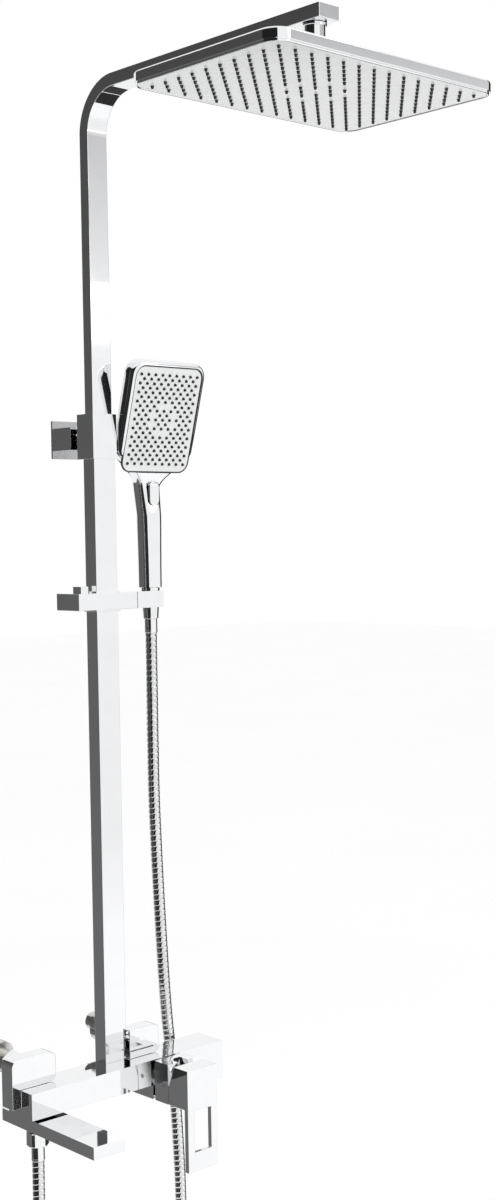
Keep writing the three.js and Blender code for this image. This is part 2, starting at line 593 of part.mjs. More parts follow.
function ballCup() {
  const cavityRadius = ball.radius + 2 * gap + ball.seatWall;
  const cup = rod('z', ball.cupRadius, ball.z - ball.cupBelow, ball.z + ball.cupAbove, [0, 0], 28);
  const cavity = new THREE.SphereGeometry(cavityRadius, 24, 14).rotateX(Math.PI / 2).translate(0, 0, ball.z);
  const mouth = rod('z', ball.mouthRadius, ball.z, ball.z + ball.cupAbove + overcut, [0, 0], 24);
  const drain = rod('z', ball.neckRadius / 2, ball.z - ball.cupBelow - overcut, ball.z, [0, 0], 12);
  return piece('ball_cup', cut(cup, cavity, mouth, drain), chrome());
}

function headShell() {
  const floor = head.bottom + head.rimHeight + gap;
  const band = slab(head.width, head.depth, head.radius, headTop - floor).translate(0, 0, floor);
  const room = slab(head.width - 2 * head.wall, head.depth - 2 * head.wall, head.radius - head.wall,
    headTop - head.wall - floor + overcut).translate(0, 0, floor - overcut);
  const boss = rod('z', head.bossRadius, headTop - overcut, headTop + head.bossHeight, [0, 0], 28);
  const feed = rod('z', ball.neckRadius / 2, headTop - head.wall - overcut, headTop + head.bossHeight + overcut,
    [0, 0], 12);
  return piece('head_shell', cut(join(cut(band, room), boss), feed), chrome());
}

// The spray face closes the shell from below; its rim steps in from the shell's side band.
function headFace() {
  const width = head.width - 2 * head.rimInset;
  const depth = head.depth - 2 * head.rimInset;
  const rim = slab(width, depth, head.radius - head.rimInset, head.rimHeight).translate(0, 0, head.bottom);
  const plugInset = head.wall + gap;
  const plug = slab(head.width - 2 * plugInset, head.depth - 2 * plugInset, head.radius - plugInset,
    head.faceThickness + overcut).translate(0, 0, head.bottom + head.rimHeight - overcut);
  const pocket = slab(width - 2 * head.matMarginX, depth - 2 * head.matMarginY, head.radius / 2,
    head.matSunk + gap + overcut).translate(0, 0, head.bottom - overcut);
  return piece('head_face', cut(join(rim, plug), pocket), paleFace());
}

function headMat() {
  const width = head.width - 2 * (head.rimInset + head.matMarginX + gap);
  const depth = head.depth - 2 * (head.rimInset + head.matMarginY + gap);
  const mat = slab(width, depth, head.radius / 2 - gap, head.matThickness);
  mat.translate(0, 0, head.bottom + head.matSunk - head.matThickness);
  return piece('head_nozzle_mat', mat, silicone());
}

const headGroup = new THREE.Group();
headGroup.position.set(riserX, head.y, 0);
headGroup.add(armNipple(), armRingNut(), ballSeat(), ballCup(), headShell(), headFace(), headMat());
column.add(headGroup);

// ---------------------------------------------------------------- slider, release button and holder
function sliderSleeve() {
  const x = riser.width / 2 + slider.sleeveGap;
  const y = riser.depth / 2 + slider.sleeveGap;
  const half = slider.height / 2 + slider.sleeveProud;
  const outer = block(-x - slider.sleeveWall, x + slider.sleeveWall, -y - slider.sleeveWall, y + slider.sleeveWall,
    -half, half);
  const bore = block(-x, x, -y, y, -half - overcut, half + overcut);
  const sleeve = piece('slider_sleeve', cut(outer, bore), chrome());
  sleeve.position.set(riserX, riser.y, 0);
  return sleeve;
}

function sliderBody() {
  const half = slider.height / 2;
  const box = block(sliderLeft, slider.seam, slider.front, slider.front + slider.depth, -half, half);
  const x = riser.width / 2 + slider.sleeveGap + slider.sleeveWall + gap;
  const y = riser.depth / 2 + slider.sleeveGap + slider.sleeveWall + gap;
  const pass = block(riserX - x, riserX + x, riser.y - y, riser.y + y, -half - overcut, half + overcut);
  const pocketX = slider.buttonWidth / 2 + gap;
  const pocketY = slider.buttonDepth / 2 + gap;
  const pocket = block(sliderButtonX - pocketX, sliderButtonX + pocketX, slider.buttonY - pocketY,
    slider.buttonY + pocketY, half - slider.buttonSunk - 3, half + overcut);
  const pinHole = rod('x', holder.pinRadius + gap, slider.seam - holder.pinReach, slider.seam + overcut,
    [handset.y, 0], 20);
  return piece('slider_body', cut(box, pass, pocket, pinHole), chrome());
}

function sliderButton() {
  const half = slider.height / 2;
  const button = block(sliderButtonX - slider.buttonWidth / 2, sliderButtonX + slider.buttonWidth / 2,
    slider.buttonY - slider.buttonDepth / 2, slider.buttonY + slider.buttonDepth / 2,
    half - slider.buttonSunk, half + slider.buttonProud);
  return piece('slider_button', button, chrome());
}

function cone(topRadius, bottomRadius, top, bottom, sides = 32) {
  return new THREE.CylinderGeometry(topRadius, bottomRadius, top - bottom, sides)
    .rotateX(Math.PI / 2).translate(0, 0, (top + bottom) / 2);
}

// The radius of the hose's cone nut at a height above the slider's middle, carried on past its ends.
function coneRadiusAt(z) {
  const rise = (z + slider.z - coneBottom) / coneNut.height;
  return coneNut.bottomRadius + rise * (coneNut.topRadius - coneNut.bottomRadius);
}

// A block with a conical seat for the cone nut, open at its end through a slot as wide as the hose.
function handsetHolder() {
  const half = slider.height / 2;
  const left = slider.seam + gap;
  const box = block(left, slider.right, handset.y - holder.depth / 2 - 2, handset.y + holder.depth / 2, -half, half);
  const top = half + overcut;
  const seat = cone(coneRadiusAt(top) + gap, coneRadiusAt(-top) + gap, top, -top);
  seat.translate(handset.x, handset.y, 0);
  const mouth = block(handset.x, slider.right + overcut, handset.y - holder.slotWidth / 2,
    handset.y + holder.slotWidth / 2, -top, top);
  const pinHole = rod('x', holder.pinRadius + gap, left - overcut, left + holder.pinReach, [handset.y, 0], 20);
  return piece('handset_holder', cut(box, seat, mouth, pinHole), chrome());
}

function holderPin() {
  const pin = rod('x', holder.pinRadius, slider.seam - holder.pinReach + gap, slider.seam + holder.pinReach,
    [handset.y, 0], 20);
  return piece('holder_pin', pin, steel());
}

const sliderGroup = new THREE.Group();
sliderGroup.position.z = slider.z;
sliderGroup.add(sliderSleeve(), sliderBody(), sliderButton(), handsetHolder(), holderPin());
column.add(sliderGroup);

// ---------------------------------------------------------------- handset and its hose fittings
// Turns a slab that lies on z = 0 so that it stands with its face to the front, tipped forward at the top.
function onFace(geometry, depthBehind, x = 0, rise = 0) {
  const tilt = THREE.MathUtils.degToRad(handset.headTilt);
  geometry.rotateX(Math.PI / 2).translate(x, depthBehind, rise).rotateX(tilt);
  return geometry.translate(0, -handset.faceForward, handset.faceRise);
}

function handleTube(grow = 0, height = handset.handleHeight) {
  return slab(handset.handleWidth + grow, handset.handleDepth + grow, handset.handleRadius, height);
}

function handsetShell() {
  const headBack = handset.headThickness;
  const headSlab = onFace(slab(handset.headWidth, handset.headHeight, handset.headRadius, headBack), headBack);
  const shoulder = onFace(slab(handset.neckWidth, handset.headHeight / 2, handset.headRadius, headBack), headBack,
    0, -handset.headHeight / 2);
  const reach = handset.headHeight;
  const neckRoom = block(-reach, reach, -reach, handset.handleDepth / 2, handset.neckBottom, handset.neckTop);
  const handle = handleTube();
  const recessWidth = handset.headWidth - 2 * handset.faceMargin;
  const recessHeight = handset.headHeight - 2 * handset.faceMargin;
  const recess = onFace(slab(recessWidth, recessHeight, handset.faceRadius, handset.faceDepth + overcut),
    handset.faceDepth);
  const front = handset.handleDepth / 2;
  const buttonPocket = slab(handset.buttonWidth + 2 * runningGap, handset.buttonHeight + 2 * runningGap,
    handset.buttonRadius, 2 * front).rotateX(Math.PI / 2);
  buttonPocket.translate(0, -front + handset.buttonSunk + 2.5, handset.buttonRise);
  const socket = rod('z', handset.connectorRadius + gap, -overcut, handset.connectorLength + gap, [0, 0]);
  const water = rod('z', handset.waterRadius, 0, handset.neckBottom, [0, 0], 12);
  const roomInset = 2 * (handset.faceMargin + handset.wall);
  const roomDepth = headBack - handset.faceDepth - handset.wall + overcut;
  const room = onFace(slab(handset.headWidth - roomInset, handset.headHeight - roomInset, handset.faceRadius,
    roomDepth), headBack - handset.wall);
  const whole = join(headSlab, common(shoulder, neckRoom), handle);
  return piece('handset_shell', cut(whole, recess, room, buttonPocket, socket, water), chrome());
}

function handsetFace() {
  const width = handset.headWidth - 2 * handset.faceMargin - 4 * gap;
  const height = handset.headHeight - 2 * handset.faceMargin - 4 * gap;
  const plate = onFace(slab(width, height, handset.faceRadius - 2 * gap, handset.faceDepth - gap),
    handset.faceDepth - gap);
  const pocket = onFace(slab(width - 2 * handset.matMargin, height - 2 * handset.matMargin, handset.matRadius,
    handset.matSunk + overcut), handset.matSunk);
  return piece('handset_face', cut(plate, pocket), paleFace());
}

function handsetMat() {
  const width = handset.headWidth - 2 * (handset.faceMargin + handset.matMargin) - 6 * gap;
  const height = handset.headHeight - 2 * (handset.faceMargin + handset.matMargin) - 6 * gap;
  const mat = onFace(slab(width, height, handset.matRadius - gap, handset.matThickness), handset.matSunk - gap);
  return piece('handset_nozzle_mat', mat, silicone());
}

function handsetButton() {
  const front = handset.handleDepth / 2;
  const button = slab(handset.buttonWidth, handset.buttonHeight, handset.buttonRadius,
    handset.buttonProud + handset.buttonSunk).rotateX(Math.PI / 2);
  button.translate(0, -front + handset.buttonSunk, handset.buttonRise);
  return piece('handset_button', button, chrome());
}

function handsetFittings() {
  const connector = ring('z', handset.connectorRadius, 5, -handset.connectorLength - gap,
    handset.connectorLength, [0, 0], 24);
  const top = coneTop - handset.z;
  const bottom = coneBottom - handset.z;
  const nut = cut(cone(coneNut.topRadius, coneNut.bottomRadius, top, bottom),
    rod('z', handset.connectorRadius + screwGap, -handset.connectorLength - 2 * gap, overcut, [0, 0]),
    rod('z', ferrule.radius - 2, bottom - overcut, 0, [0, 0], 16));
  const sleeve = ring('z', ferrule.radius, ferrule.radius - 2, bottom - gap - ferrule.height, bottom - gap, [0, 0], 20);
  return [
    piece('handset_connector', connector, brass()),
    piece('hose_cone_nut', nut, chrome()),
    piece('hose_handset_ferrule', sleeve, chrome()),
  ];
}

const handsetGroup = new THREE.Group();
handsetGroup.position.set(handset.x, handset.y, handset.z);
handsetGroup.add(handsetShell(), handsetFace(), handsetMat(), handsetButton(), ...handsetFittings());
column.add(handsetGroup);

// ---------------------------------------------------------------- hose
function showerHose() {
  const section = new THREE.Shape();
  for (let i = 0; i < hose.sides; i += 1) {
    const angle = (2 * Math.PI * i) / hose.sides;
    const corner = [hose.radius * Math.cos(angle), hose.radius * Math.sin(angle)];
    if (i === 0) section.moveTo(...corner);
    else section.lineTo(...corner);
  }
  const path = new THREE.CatmullRomCurve3(hosePoints.map((point) => new THREE.Vector3(...point)));
  const tube = new THREE.ExtrudeGeometry(section,
    { steps: hose.steps, bevelEnabled: false, extrudePath: path });
  return piece('shower_hose', tube, hoseSteel());
}

column.add(showerHose());

export default column;
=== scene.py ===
import json

import bmesh
import bpy
import numpy as np
from bpy.props import FloatProperty, FloatVectorProperty, IntProperty, PointerProperty
from bpy.types import Operator, Panel, PropertyGroup
from mathutils import Matrix, Vector


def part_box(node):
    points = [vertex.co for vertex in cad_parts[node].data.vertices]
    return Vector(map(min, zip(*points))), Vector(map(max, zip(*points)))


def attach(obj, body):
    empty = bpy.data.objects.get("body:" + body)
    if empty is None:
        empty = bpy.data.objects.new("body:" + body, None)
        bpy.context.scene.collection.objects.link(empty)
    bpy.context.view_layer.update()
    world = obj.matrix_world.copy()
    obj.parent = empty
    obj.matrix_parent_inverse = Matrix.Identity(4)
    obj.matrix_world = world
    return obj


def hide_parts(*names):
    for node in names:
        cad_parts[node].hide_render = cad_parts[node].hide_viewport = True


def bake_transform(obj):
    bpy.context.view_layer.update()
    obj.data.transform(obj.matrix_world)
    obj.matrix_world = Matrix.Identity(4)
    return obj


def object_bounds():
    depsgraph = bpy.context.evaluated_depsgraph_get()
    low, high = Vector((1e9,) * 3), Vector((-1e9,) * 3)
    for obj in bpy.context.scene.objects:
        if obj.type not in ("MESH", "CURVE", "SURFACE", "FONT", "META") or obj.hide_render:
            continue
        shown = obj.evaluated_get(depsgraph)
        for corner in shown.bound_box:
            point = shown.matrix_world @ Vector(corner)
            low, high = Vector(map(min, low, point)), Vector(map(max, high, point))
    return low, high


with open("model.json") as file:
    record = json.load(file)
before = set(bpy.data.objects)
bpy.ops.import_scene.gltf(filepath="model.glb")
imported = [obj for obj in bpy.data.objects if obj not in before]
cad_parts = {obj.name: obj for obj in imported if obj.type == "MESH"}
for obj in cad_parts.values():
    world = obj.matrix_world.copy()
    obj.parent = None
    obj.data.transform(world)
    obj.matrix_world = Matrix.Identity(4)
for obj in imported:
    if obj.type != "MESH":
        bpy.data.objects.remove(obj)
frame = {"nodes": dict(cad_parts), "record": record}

bl_info = {
    "name": "Rainfall shower column",
    "version": (1, 0, 0),
    "blender": (4, 5, 0),
    "location": "View3D > Sidebar > Shower",
    "description": "Finishes a wall shower column with mixer, rain head, handset and hose",
    "category": "Object",
}

CAD_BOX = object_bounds()
MM = 0.001
BODY_OF_NODE = {node: body
                for body, nodes in frame["record"]["behaviour"]["bodies"].items()
                for node in nodes}
SLOT_OF_NODE = {row["node"]: row["material_slot"] for row in frame["record"]["subparts"]}


# ---------------------------------------------------------------- sizes and colours

class ShowerColours(PropertyGroup):
    chrome: FloatVectorProperty(
        name="Chrome", description="Colour of the polished chrome", subtype="COLOR",
        default=(0.885, 0.89, 0.9), min=0, max=1)
    chrome_roughness: FloatProperty(
        name="Chrome roughness", description="How blurred the chrome's reflections are",
        default=0.035, min=0, max=1, subtype="FACTOR")
    spray_face: FloatVectorProperty(
        name="Spray face", description="Colour of the two pale spray plates", subtype="COLOR",
        default=(0.78, 0.785, 0.79), min=0, max=1)
    nozzle: FloatVectorProperty(
        name="Nozzles", description="Colour of the soft nozzles", subtype="COLOR",
        default=(0.022, 0.023, 0.025), min=0, max=1)


class HoseSizes(PropertyGroup):
    radius: FloatProperty(
        name="Outside radius", description="Radius over the crests of the hose's steel winding",
        default=7.0 * MM, min=4 * MM, max=12 * MM, unit="LENGTH")
    groove: FloatProperty(
        name="Groove depth", description="How deep the winding's groove is",
        default=1.0 * MM, min=0, max=3 * MM, unit="LENGTH")
    pitch: FloatProperty(
        name="Winding pitch", description="Rise of the winding in one turn",
        default=6.6 * MM, min=2 * MM, max=20 * MM, unit="LENGTH")


class HeadSizes(PropertyGroup):
    nozzle_radius: FloatProperty(
        name="Nozzle radius", description="Radius of a rain nozzle at its foot",
        default=1.75 * MM, min=0.5 * MM, max=3 * MM, unit="LENGTH")
    nozzle_height: FloatProperty(
        name="Nozzle height", description="How far a rain nozzle stands below its plate",
        default=2.9 * MM, min=0.5 * MM, max=6 * MM, unit="LENGTH")
    columns: IntProperty(
        name="Nozzle columns", description="Columns of nozzles on each side of the middle",
        default=13, min=1, max=20)
    rows: IntProperty(
        name="Nozzle rows", description="Rows of nozzles on each side of the middle",
        default=9, min=1, max=20)


class HandsetSizes(PropertyGroup):
    tilt: FloatProperty(
        name="Face tilt", description="How far the handset's face leans forward at its top",
        default=np.radians(16.2), min=0, max=np.radians(40), subtype="ANGLE")
    nozzle_pitch: FloatProperty(
        name="Nozzle pitch", description="Distance between two nozzles of one row",
        default=10.48 * MM, min=4 * MM, max=20 * MM, unit="LENGTH")
    nozzle_radius: FloatProperty(
        name="Nozzle radius", description="Radius of a handset nozzle at its foot",
        default=1.75 * MM, min=0.5 * MM, max=3 * MM, unit="LENGTH")


class EdgeSizes(PropertyGroup):
    casting: FloatProperty(
        name="Casting edges", description="Rounding along the edges of the cast blocks",
        default=0.55 * MM, min=0.05 * MM, max=3 * MM, unit="LENGTH")
    cover: FloatProperty(
        name="Cover edges", description="Rounding along the edges of the inlet covers",
        default=1.3 * MM, min=0.05 * MM, max=3 * MM, unit="LENGTH")


# ---------------------------------------------------------------- materials

POLISH_CLOUDS = 45  # these two are in features per metre
GLOSS_CLOUDS = 60
WAVE_DEPTH = 0.4 * MM
GRAIN_STRENGTH = 0.15
TEXTURE_RANGE = (0.3, 0.7)  # where most of a noise texture's values lie


def node_tree(name):
    """A new material, its node tree and its main shader."""
    material = bpy.data.materials.new(name)
    material.use_nodes = True
    tree = material.node_tree
    return material, tree, tree.nodes["Principled BSDF"]


def texture(tree, kind, scale, **inputs):
    """A texture node that reads Object coordinates, with its scale in features per metre."""
    place = tree.nodes.new("ShaderNodeTexCoord")
    node = tree.nodes.new(kind)
    tree.links.new(place.outputs["Object"], node.inputs["Vector"])
    node.inputs["Scale"].default_value = scale
    for key, value in inputs.items():
        node.inputs[key].default_value = value
    return node


def spread(tree, source, low, high):
    """Maps the texture's usual range onto low to high, held at both ends."""
    node = tree.nodes.new("ShaderNodeMapRange")
    node.inputs["From Min"].default_value, node.inputs["From Max"].default_value = TEXTURE_RANGE
    node.inputs["To Min"].default_value = low
    node.inputs["To Max"].default_value = high
    tree.links.new(source, node.inputs["Value"])
    return node.outputs["Result"]


def bump(tree, shader, source, strength, distance):
    """Raises and lowers the surface along a texture."""
    node = tree.nodes.new("ShaderNodeBump")
    node.inputs["Strength"].default_value = strength
    node.inputs["Distance"].default_value = distance
    tree.links.new(source, node.inputs["Height"])
    tree.links.new(node.outputs["Normal"], shader.inputs["Normal"])


def tint(tree, shader, source, first, second):
    """Runs the base colour from first to second along a texture."""
    ramp = tree.nodes.new("ShaderNodeValToRGB")
    for stop, position, colour in zip(ramp.color_ramp.elements, TEXTURE_RANGE, (first, second)):
        stop.position = position
        stop.color = (*colour, 1)
    tree.links.new(source, ramp.inputs["Fac"])
    tree.links.new(ramp.outputs["Color"], shader.inputs["Base Color"])


def metal(name, colour, roughness, haze=0.02, wave=0.03, wave_size=14, stain=0.03):
    """Plated metal: cloudy polish in the roughness, a slow wave in the surface, and a little
    dulling in the colour."""
    material, tree, shader = node_tree(name)
    shader.inputs["Metallic"].default_value = 1.0
    cloud = texture(tree, "ShaderNodeTexNoise", POLISH_CLOUDS, Detail=4, Roughness=0.6)
    polish = spread(tree, cloud.outputs["Fac"], roughness, roughness + haze)
    tree.links.new(polish, shader.inputs["Roughness"])
    darker = [c * (1 - stain) for c in colour]
    tint(tree, shader, cloud.outputs["Fac"], darker, colour)
    slow = texture(tree, "ShaderNodeTexNoise", wave_size, Detail=1)
    bump(tree, shader, slow.outputs["Fac"], wave, WAVE_DEPTH)
    return material


def moulded(name, colour, roughness, grain, depth, sheen=0.0):
    """Moulded plastic or rubber: a fine grain in the surface, cloudy gloss, and a slight
    colour change."""
    material, tree, shader = node_tree(name)
    fine = texture(tree, "ShaderNodeTexNoise", grain, Detail=3)
    cloud = texture(tree, "ShaderNodeTexNoise", GLOSS_CLOUDS, Detail=2)
    gloss = spread(tree, cloud.outputs["Fac"], roughness * 0.85, min(1, roughness * 1.2))
    tree.links.new(gloss, shader.inputs["Roughness"])
    tint(tree, shader, cloud.outputs["Fac"], [c * 0.94 for c in colour], colour)
    shader.inputs["Coat Weight"].default_value = sheen
    shader.inputs["Coat Roughness"].default_value = 0.08
    bump(tree, shader, fine.outputs["Fac"], GRAIN_STRENGTH, depth)
    return material


MATERIALS = {}


def make_materials(colours):
    """Makes one material for each slot of the solids, and one for the hose's winding."""
    chrome, polish = tuple(colours.chrome), colours.chrome_roughness
    plain = {"haze": 0.12, "wave": 0.1, "wave_size": 300}
    MATERIALS["chrome"] = metal("polished_chrome", chrome, polish)
    MATERIALS["chromed_plastic"] = metal("chromed_plastic", chrome, polish + 0.01, wave=0.05)
    MATERIALS["brass"] = metal("nickel_on_brass", (0.66, 0.65, 0.62), 0.16, stain=0.15, **plain)
    MATERIALS["steel"] = metal("plain_steel", (0.62, 0.62, 0.63), 0.22, stain=0.1, **plain)
    MATERIALS["hose_steel"] = metal("hose_winding", (0.74, 0.745, 0.75), 0.06,
                                    haze=0.05, wave=0.04, wave_size=200, stain=0.1)
    MATERIALS["spray_face"] = moulded("spray_plate", tuple(colours.spray_face), 0.2,
                                      grain=900, depth=0.02 * MM, sheen=0.4)
    MATERIALS["nozzle_silicone"] = moulded("nozzle_silicone", tuple(colours.nozzle), 0.38,
                                           grain=2500, depth=0.02 * MM)
    MATERIALS["seal_rubber"] = moulded("seal_rubber", (0.015, 0.015, 0.016), 0.7,
                                       grain=1500, depth=0.05 * MM)
    MATERIALS["black_plastic"] = moulded("black_plastic", (0.012, 0.012, 0.013), 0.35,
                                         grain=1200, depth=0.04 * MM)


# ---------------------------------------------------------------- surfaces

def outline(width, height, radius, corner=8):
    """Rounded rectangles, counter-clockwise: four quarter circles, each centred one radius in
    from its corner, joined by straight sides. The sizes are single values or arrays of m
    values, and the result has shape (m, 4 corner, 2)."""
    width, height, radius = np.broadcast_arrays(*map(np.atleast_1d, (width, height, radius)))
    radius = np.clip(radius, 1e-5, np.minimum(width, height) / 2 - 1e-6)
    angle = np.add.outer(np.arange(4) * np.pi / 2, np.linspace(0, np.pi / 2, corner)).ravel()
    side_x = np.repeat([1, -1, -1, 1], corner)
    side_y = np.repeat([1, 1, -1, -1], corner)
    x = side_x * (width / 2 - radius)[:, None] + radius[:, None] * np.cos(angle)
    y = side_y * (height / 2 - radius)[:, None] + radius[:, None] * np.sin(angle)
    return np.stack([x, y], -1)


def slab_rings(width, height, radius, profile, corner=8):
    """A rounded rectangle carried up a profile of (inset, level) pairs: each ring is the outline
    drawn in by the inset and raised to the level."""
    inset, level = np.asarray(profile, float).T
    flat = outline(width - 2 * inset, height - 2 * inset, radius - inset, corner)
    up = np.broadcast_to(level[:, None, None], (*flat.shape[:2], 1))
    return np.concatenate([flat, up], -1)


def edge_arc(edge, steps=4):
    """(inset, height) pairs of a quarter circle that rounds an edge: inset = e - e sin a,
    height = e - e cos a."""
    a = np.linspace(0, np.pi / 2, steps + 1)
    return np.stack([edge - edge * np.sin(a), edge - edge * np.cos(a)], 1)


def in_mm(pairs, base=0.0):
    """A profile given in millimetres, brought to metres, with its heights measured from a base."""
    return [(a * MM, base + b * MM) for a, b in pairs]


def lathe_rings(profile, sides=32, flats=0, flat_depth=0.0):
    """A profile of (radius, height) pairs turned about the z axis. With flats, rings are drawn
    in to a polygon by r' = min(r, a / cos(angle from the nearest flat)), a being the distance
    to a flat."""
    radius, level = np.asarray(profile, float).T
    angle = np.arange(sides) * 2 * np.pi / sides
    r = np.broadcast_to(radius[:, None], (len(radius), sides))
    if flats:
        step = 2 * np.pi / flats
        off = (angle + step / 2) % step - step / 2
        r = np.minimum(r, flat_depth / np.cos(off)[None, :])
    z = np.broadcast_to(level[:, None], r.shape)
    return np.stack([r * np.cos(angle), r * np.sin(angle), z], -1)


def placed(points, origin, x=(1, 0, 0), y=(0, 1, 0), z=(0, 0, 1)):
    """Moves points so that their own axes lie along x, y and z from the origin."""
    return points @ np.array([x, y, z], float) + np.asarray(origin, float)


def tube_faces(rings, sides, closed=False, caps=True):
    """Quads between neighbouring rings, wrapping round the sides, with one flat polygon over
    each open end."""
    rows = rings if closed else rings - 1
    i, j = np.meshgrid(np.arange(rows), np.arange(sides), indexing="ij")
    up = (i + 1) % rings
    nxt = (j + 1) % sides
    quads = np.stack([i * sides + j, i * sides + nxt, up * sides + nxt, up * sides + j], -1)
    faces = quads.reshape(-1, 4).tolist()
    if caps and not closed:
        faces.append(list(range(sides - 1, -1, -1)))
        faces.append(list(range((rings - 1) * sides, rings * sides)))
    return faces


def outward(points, faces):
    """Turns every face round if the volume that they enclose is negative."""
    total = 0.0
    for size in {len(f) for f in faces}:
        ids = np.array([f for f in faces if len(f) == size])
        a = points[ids[:, 0]]
        for k in range(1, size - 1):
            b, c = points[ids[:, k]], points[ids[:, k + 1]]
            total += np.einsum("ij,ij->i", a, np.cross(b, c)).sum()
    return [f[::-1] for f in faces] if total < 0 else faces


def linked(name, data):
    """A new object in the scene."""
    made = bpy.data.objects.new(name, data)
    bpy.context.scene.collection.objects.link(made)
    return made


def shade(mesh, crease):
    """Shades a mesh smooth, except across edges sharper than the crease."""
    mesh.shade_smooth()
    mesh.set_sharp_from_angle(angle=np.radians(crease))


def mesh_object(name, parts, material, crease=32):
    """Makes one object from (points, faces) parts."""
    points, faces, start = [], [], 0
    for part_points, part_faces in parts:
        part_points = np.asarray(part_points, float).reshape(-1, 3)
        turned = outward(part_points, part_faces)
        faces += [[v + start for v in f] for f in turned]
        points.append(part_points)
        start += len(part_points)
    mesh = bpy.data.meshes.new(name)
    mesh.from_pydata(np.concatenate(points).tolist(), [], faces)
    mesh.validate()
    shade(mesh, crease)
    mesh.materials.append(MATERIALS[material])
    return linked(name, mesh)


def even(made):
    """Weights a piece's normals by face area, so that flats stay flat beside rounded edges."""
    weigh = made.modifiers.new("even_flats", "WEIGHTED_NORMAL")
    weigh.keep_sharp = True
    weigh.weight = 80
    return made


def rounded(made, width, segments, sharp):
    """Rounds those edges of a piece that are sharper than an angle in degrees."""
    rounding = made.modifiers.new("rounded_edges", "BEVEL")
    rounding.width = width
    rounding.segments = segments
    rounding.limit_method = "ANGLE"
    rounding.angle_limit = np.radians(sharp)
    rounding.harden_normals = True


def solid(rings, closed=False):
    """The points of a tube's rings and the faces between them."""
    return rings, tube_faces(*rings.shape[:2], closed)


def claim(made, body, material, *nodes):
    """Says which body a piece rides on and which solids it stands for; its material is not used."""
    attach(made, body)
    if nodes:
        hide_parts(*nodes)
    return made


def softened(node, name, edge):
    """A finer copy of a solid: its doubles merged, its flats joined and its edges rounded."""
    mesh = frame["nodes"][node].data.copy()
    mesh.name = name
    work = bmesh.new()
    work.from_mesh(mesh)
    bmesh.ops.remove_doubles(work, verts=work.verts, dist=2e-6)
    bmesh.ops.dissolve_limit(work, angle_limit=np.radians(0.6), verts=work.verts, edges=work.edges)
    work.to_mesh(mesh)
    work.free()
    mesh.materials.clear()
    slot = SLOT_OF_NODE[node]
    mesh.materials.append(MATERIALS[slot])
    shade(mesh, crease=32)
    made = linked(name, mesh)
    rounded(made, edge, segments=3, sharp=40)
    return claim(made, BODY_OF_NODE[node], slot, node)


def applied(made):
    """Puts the result of a piece's modifiers into its own mesh."""
    graph = bpy.context.evaluated_depsgraph_get()
    mesh = bpy.data.meshes.new_from_object(made.evaluated_get(graph))
    made.modifiers.clear()
    old = made.data
    made.data = mesh
    bpy.data.meshes.remove(old)
    return made


def middle(node):
    """The middle of a solid's box."""
    low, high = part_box(node)
    return (np.array(low) + np.array(high)) / 2


def girth(node):
    """The height of a turned solid and its radius."""
    low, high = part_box(node)
    return high[2] - low[2], (high[0] - low[0]) / 2


def turned(node, name, body, rows, sides=48, **flats):
    """A chrome piece turned about the upright middle line of the solid that it stands for."""
    x, y, _ = middle(node)
    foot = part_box(node)[0][2]
    rings = placed(lathe_rings(rows, sides, **flats), (x, y, foot))
    made = mesh_object(name, [solid(rings)], "chrome")
    return claim(even(made), body, "chrome", node)


# ---------------------------------------------------------------- stage

CAMERA_PLACE = (-1.14995, -1.6014, 0.5896)
CAMERA_TURN = -42.75
CAMERA_PITCH = 2.2
CAMERA_ROLL = -0.94
CAMERA_LENS = 50.656
CARD_POINTS = 25
FLOOR_REACH = 14.0
FLOOR_GAP = 0.05


def light(name, energy, size, place, aim):
    """A square lamp turned towards a point."""
    data = bpy.data.lights.new(name, "AREA")
    data.energy = energy
    data.size = size
    made = linked(name, data)
    made.location = place
    made.rotation_euler = (Vector(aim) - Vector(place)).to_track_quat("-Z", "Y").to_euler()


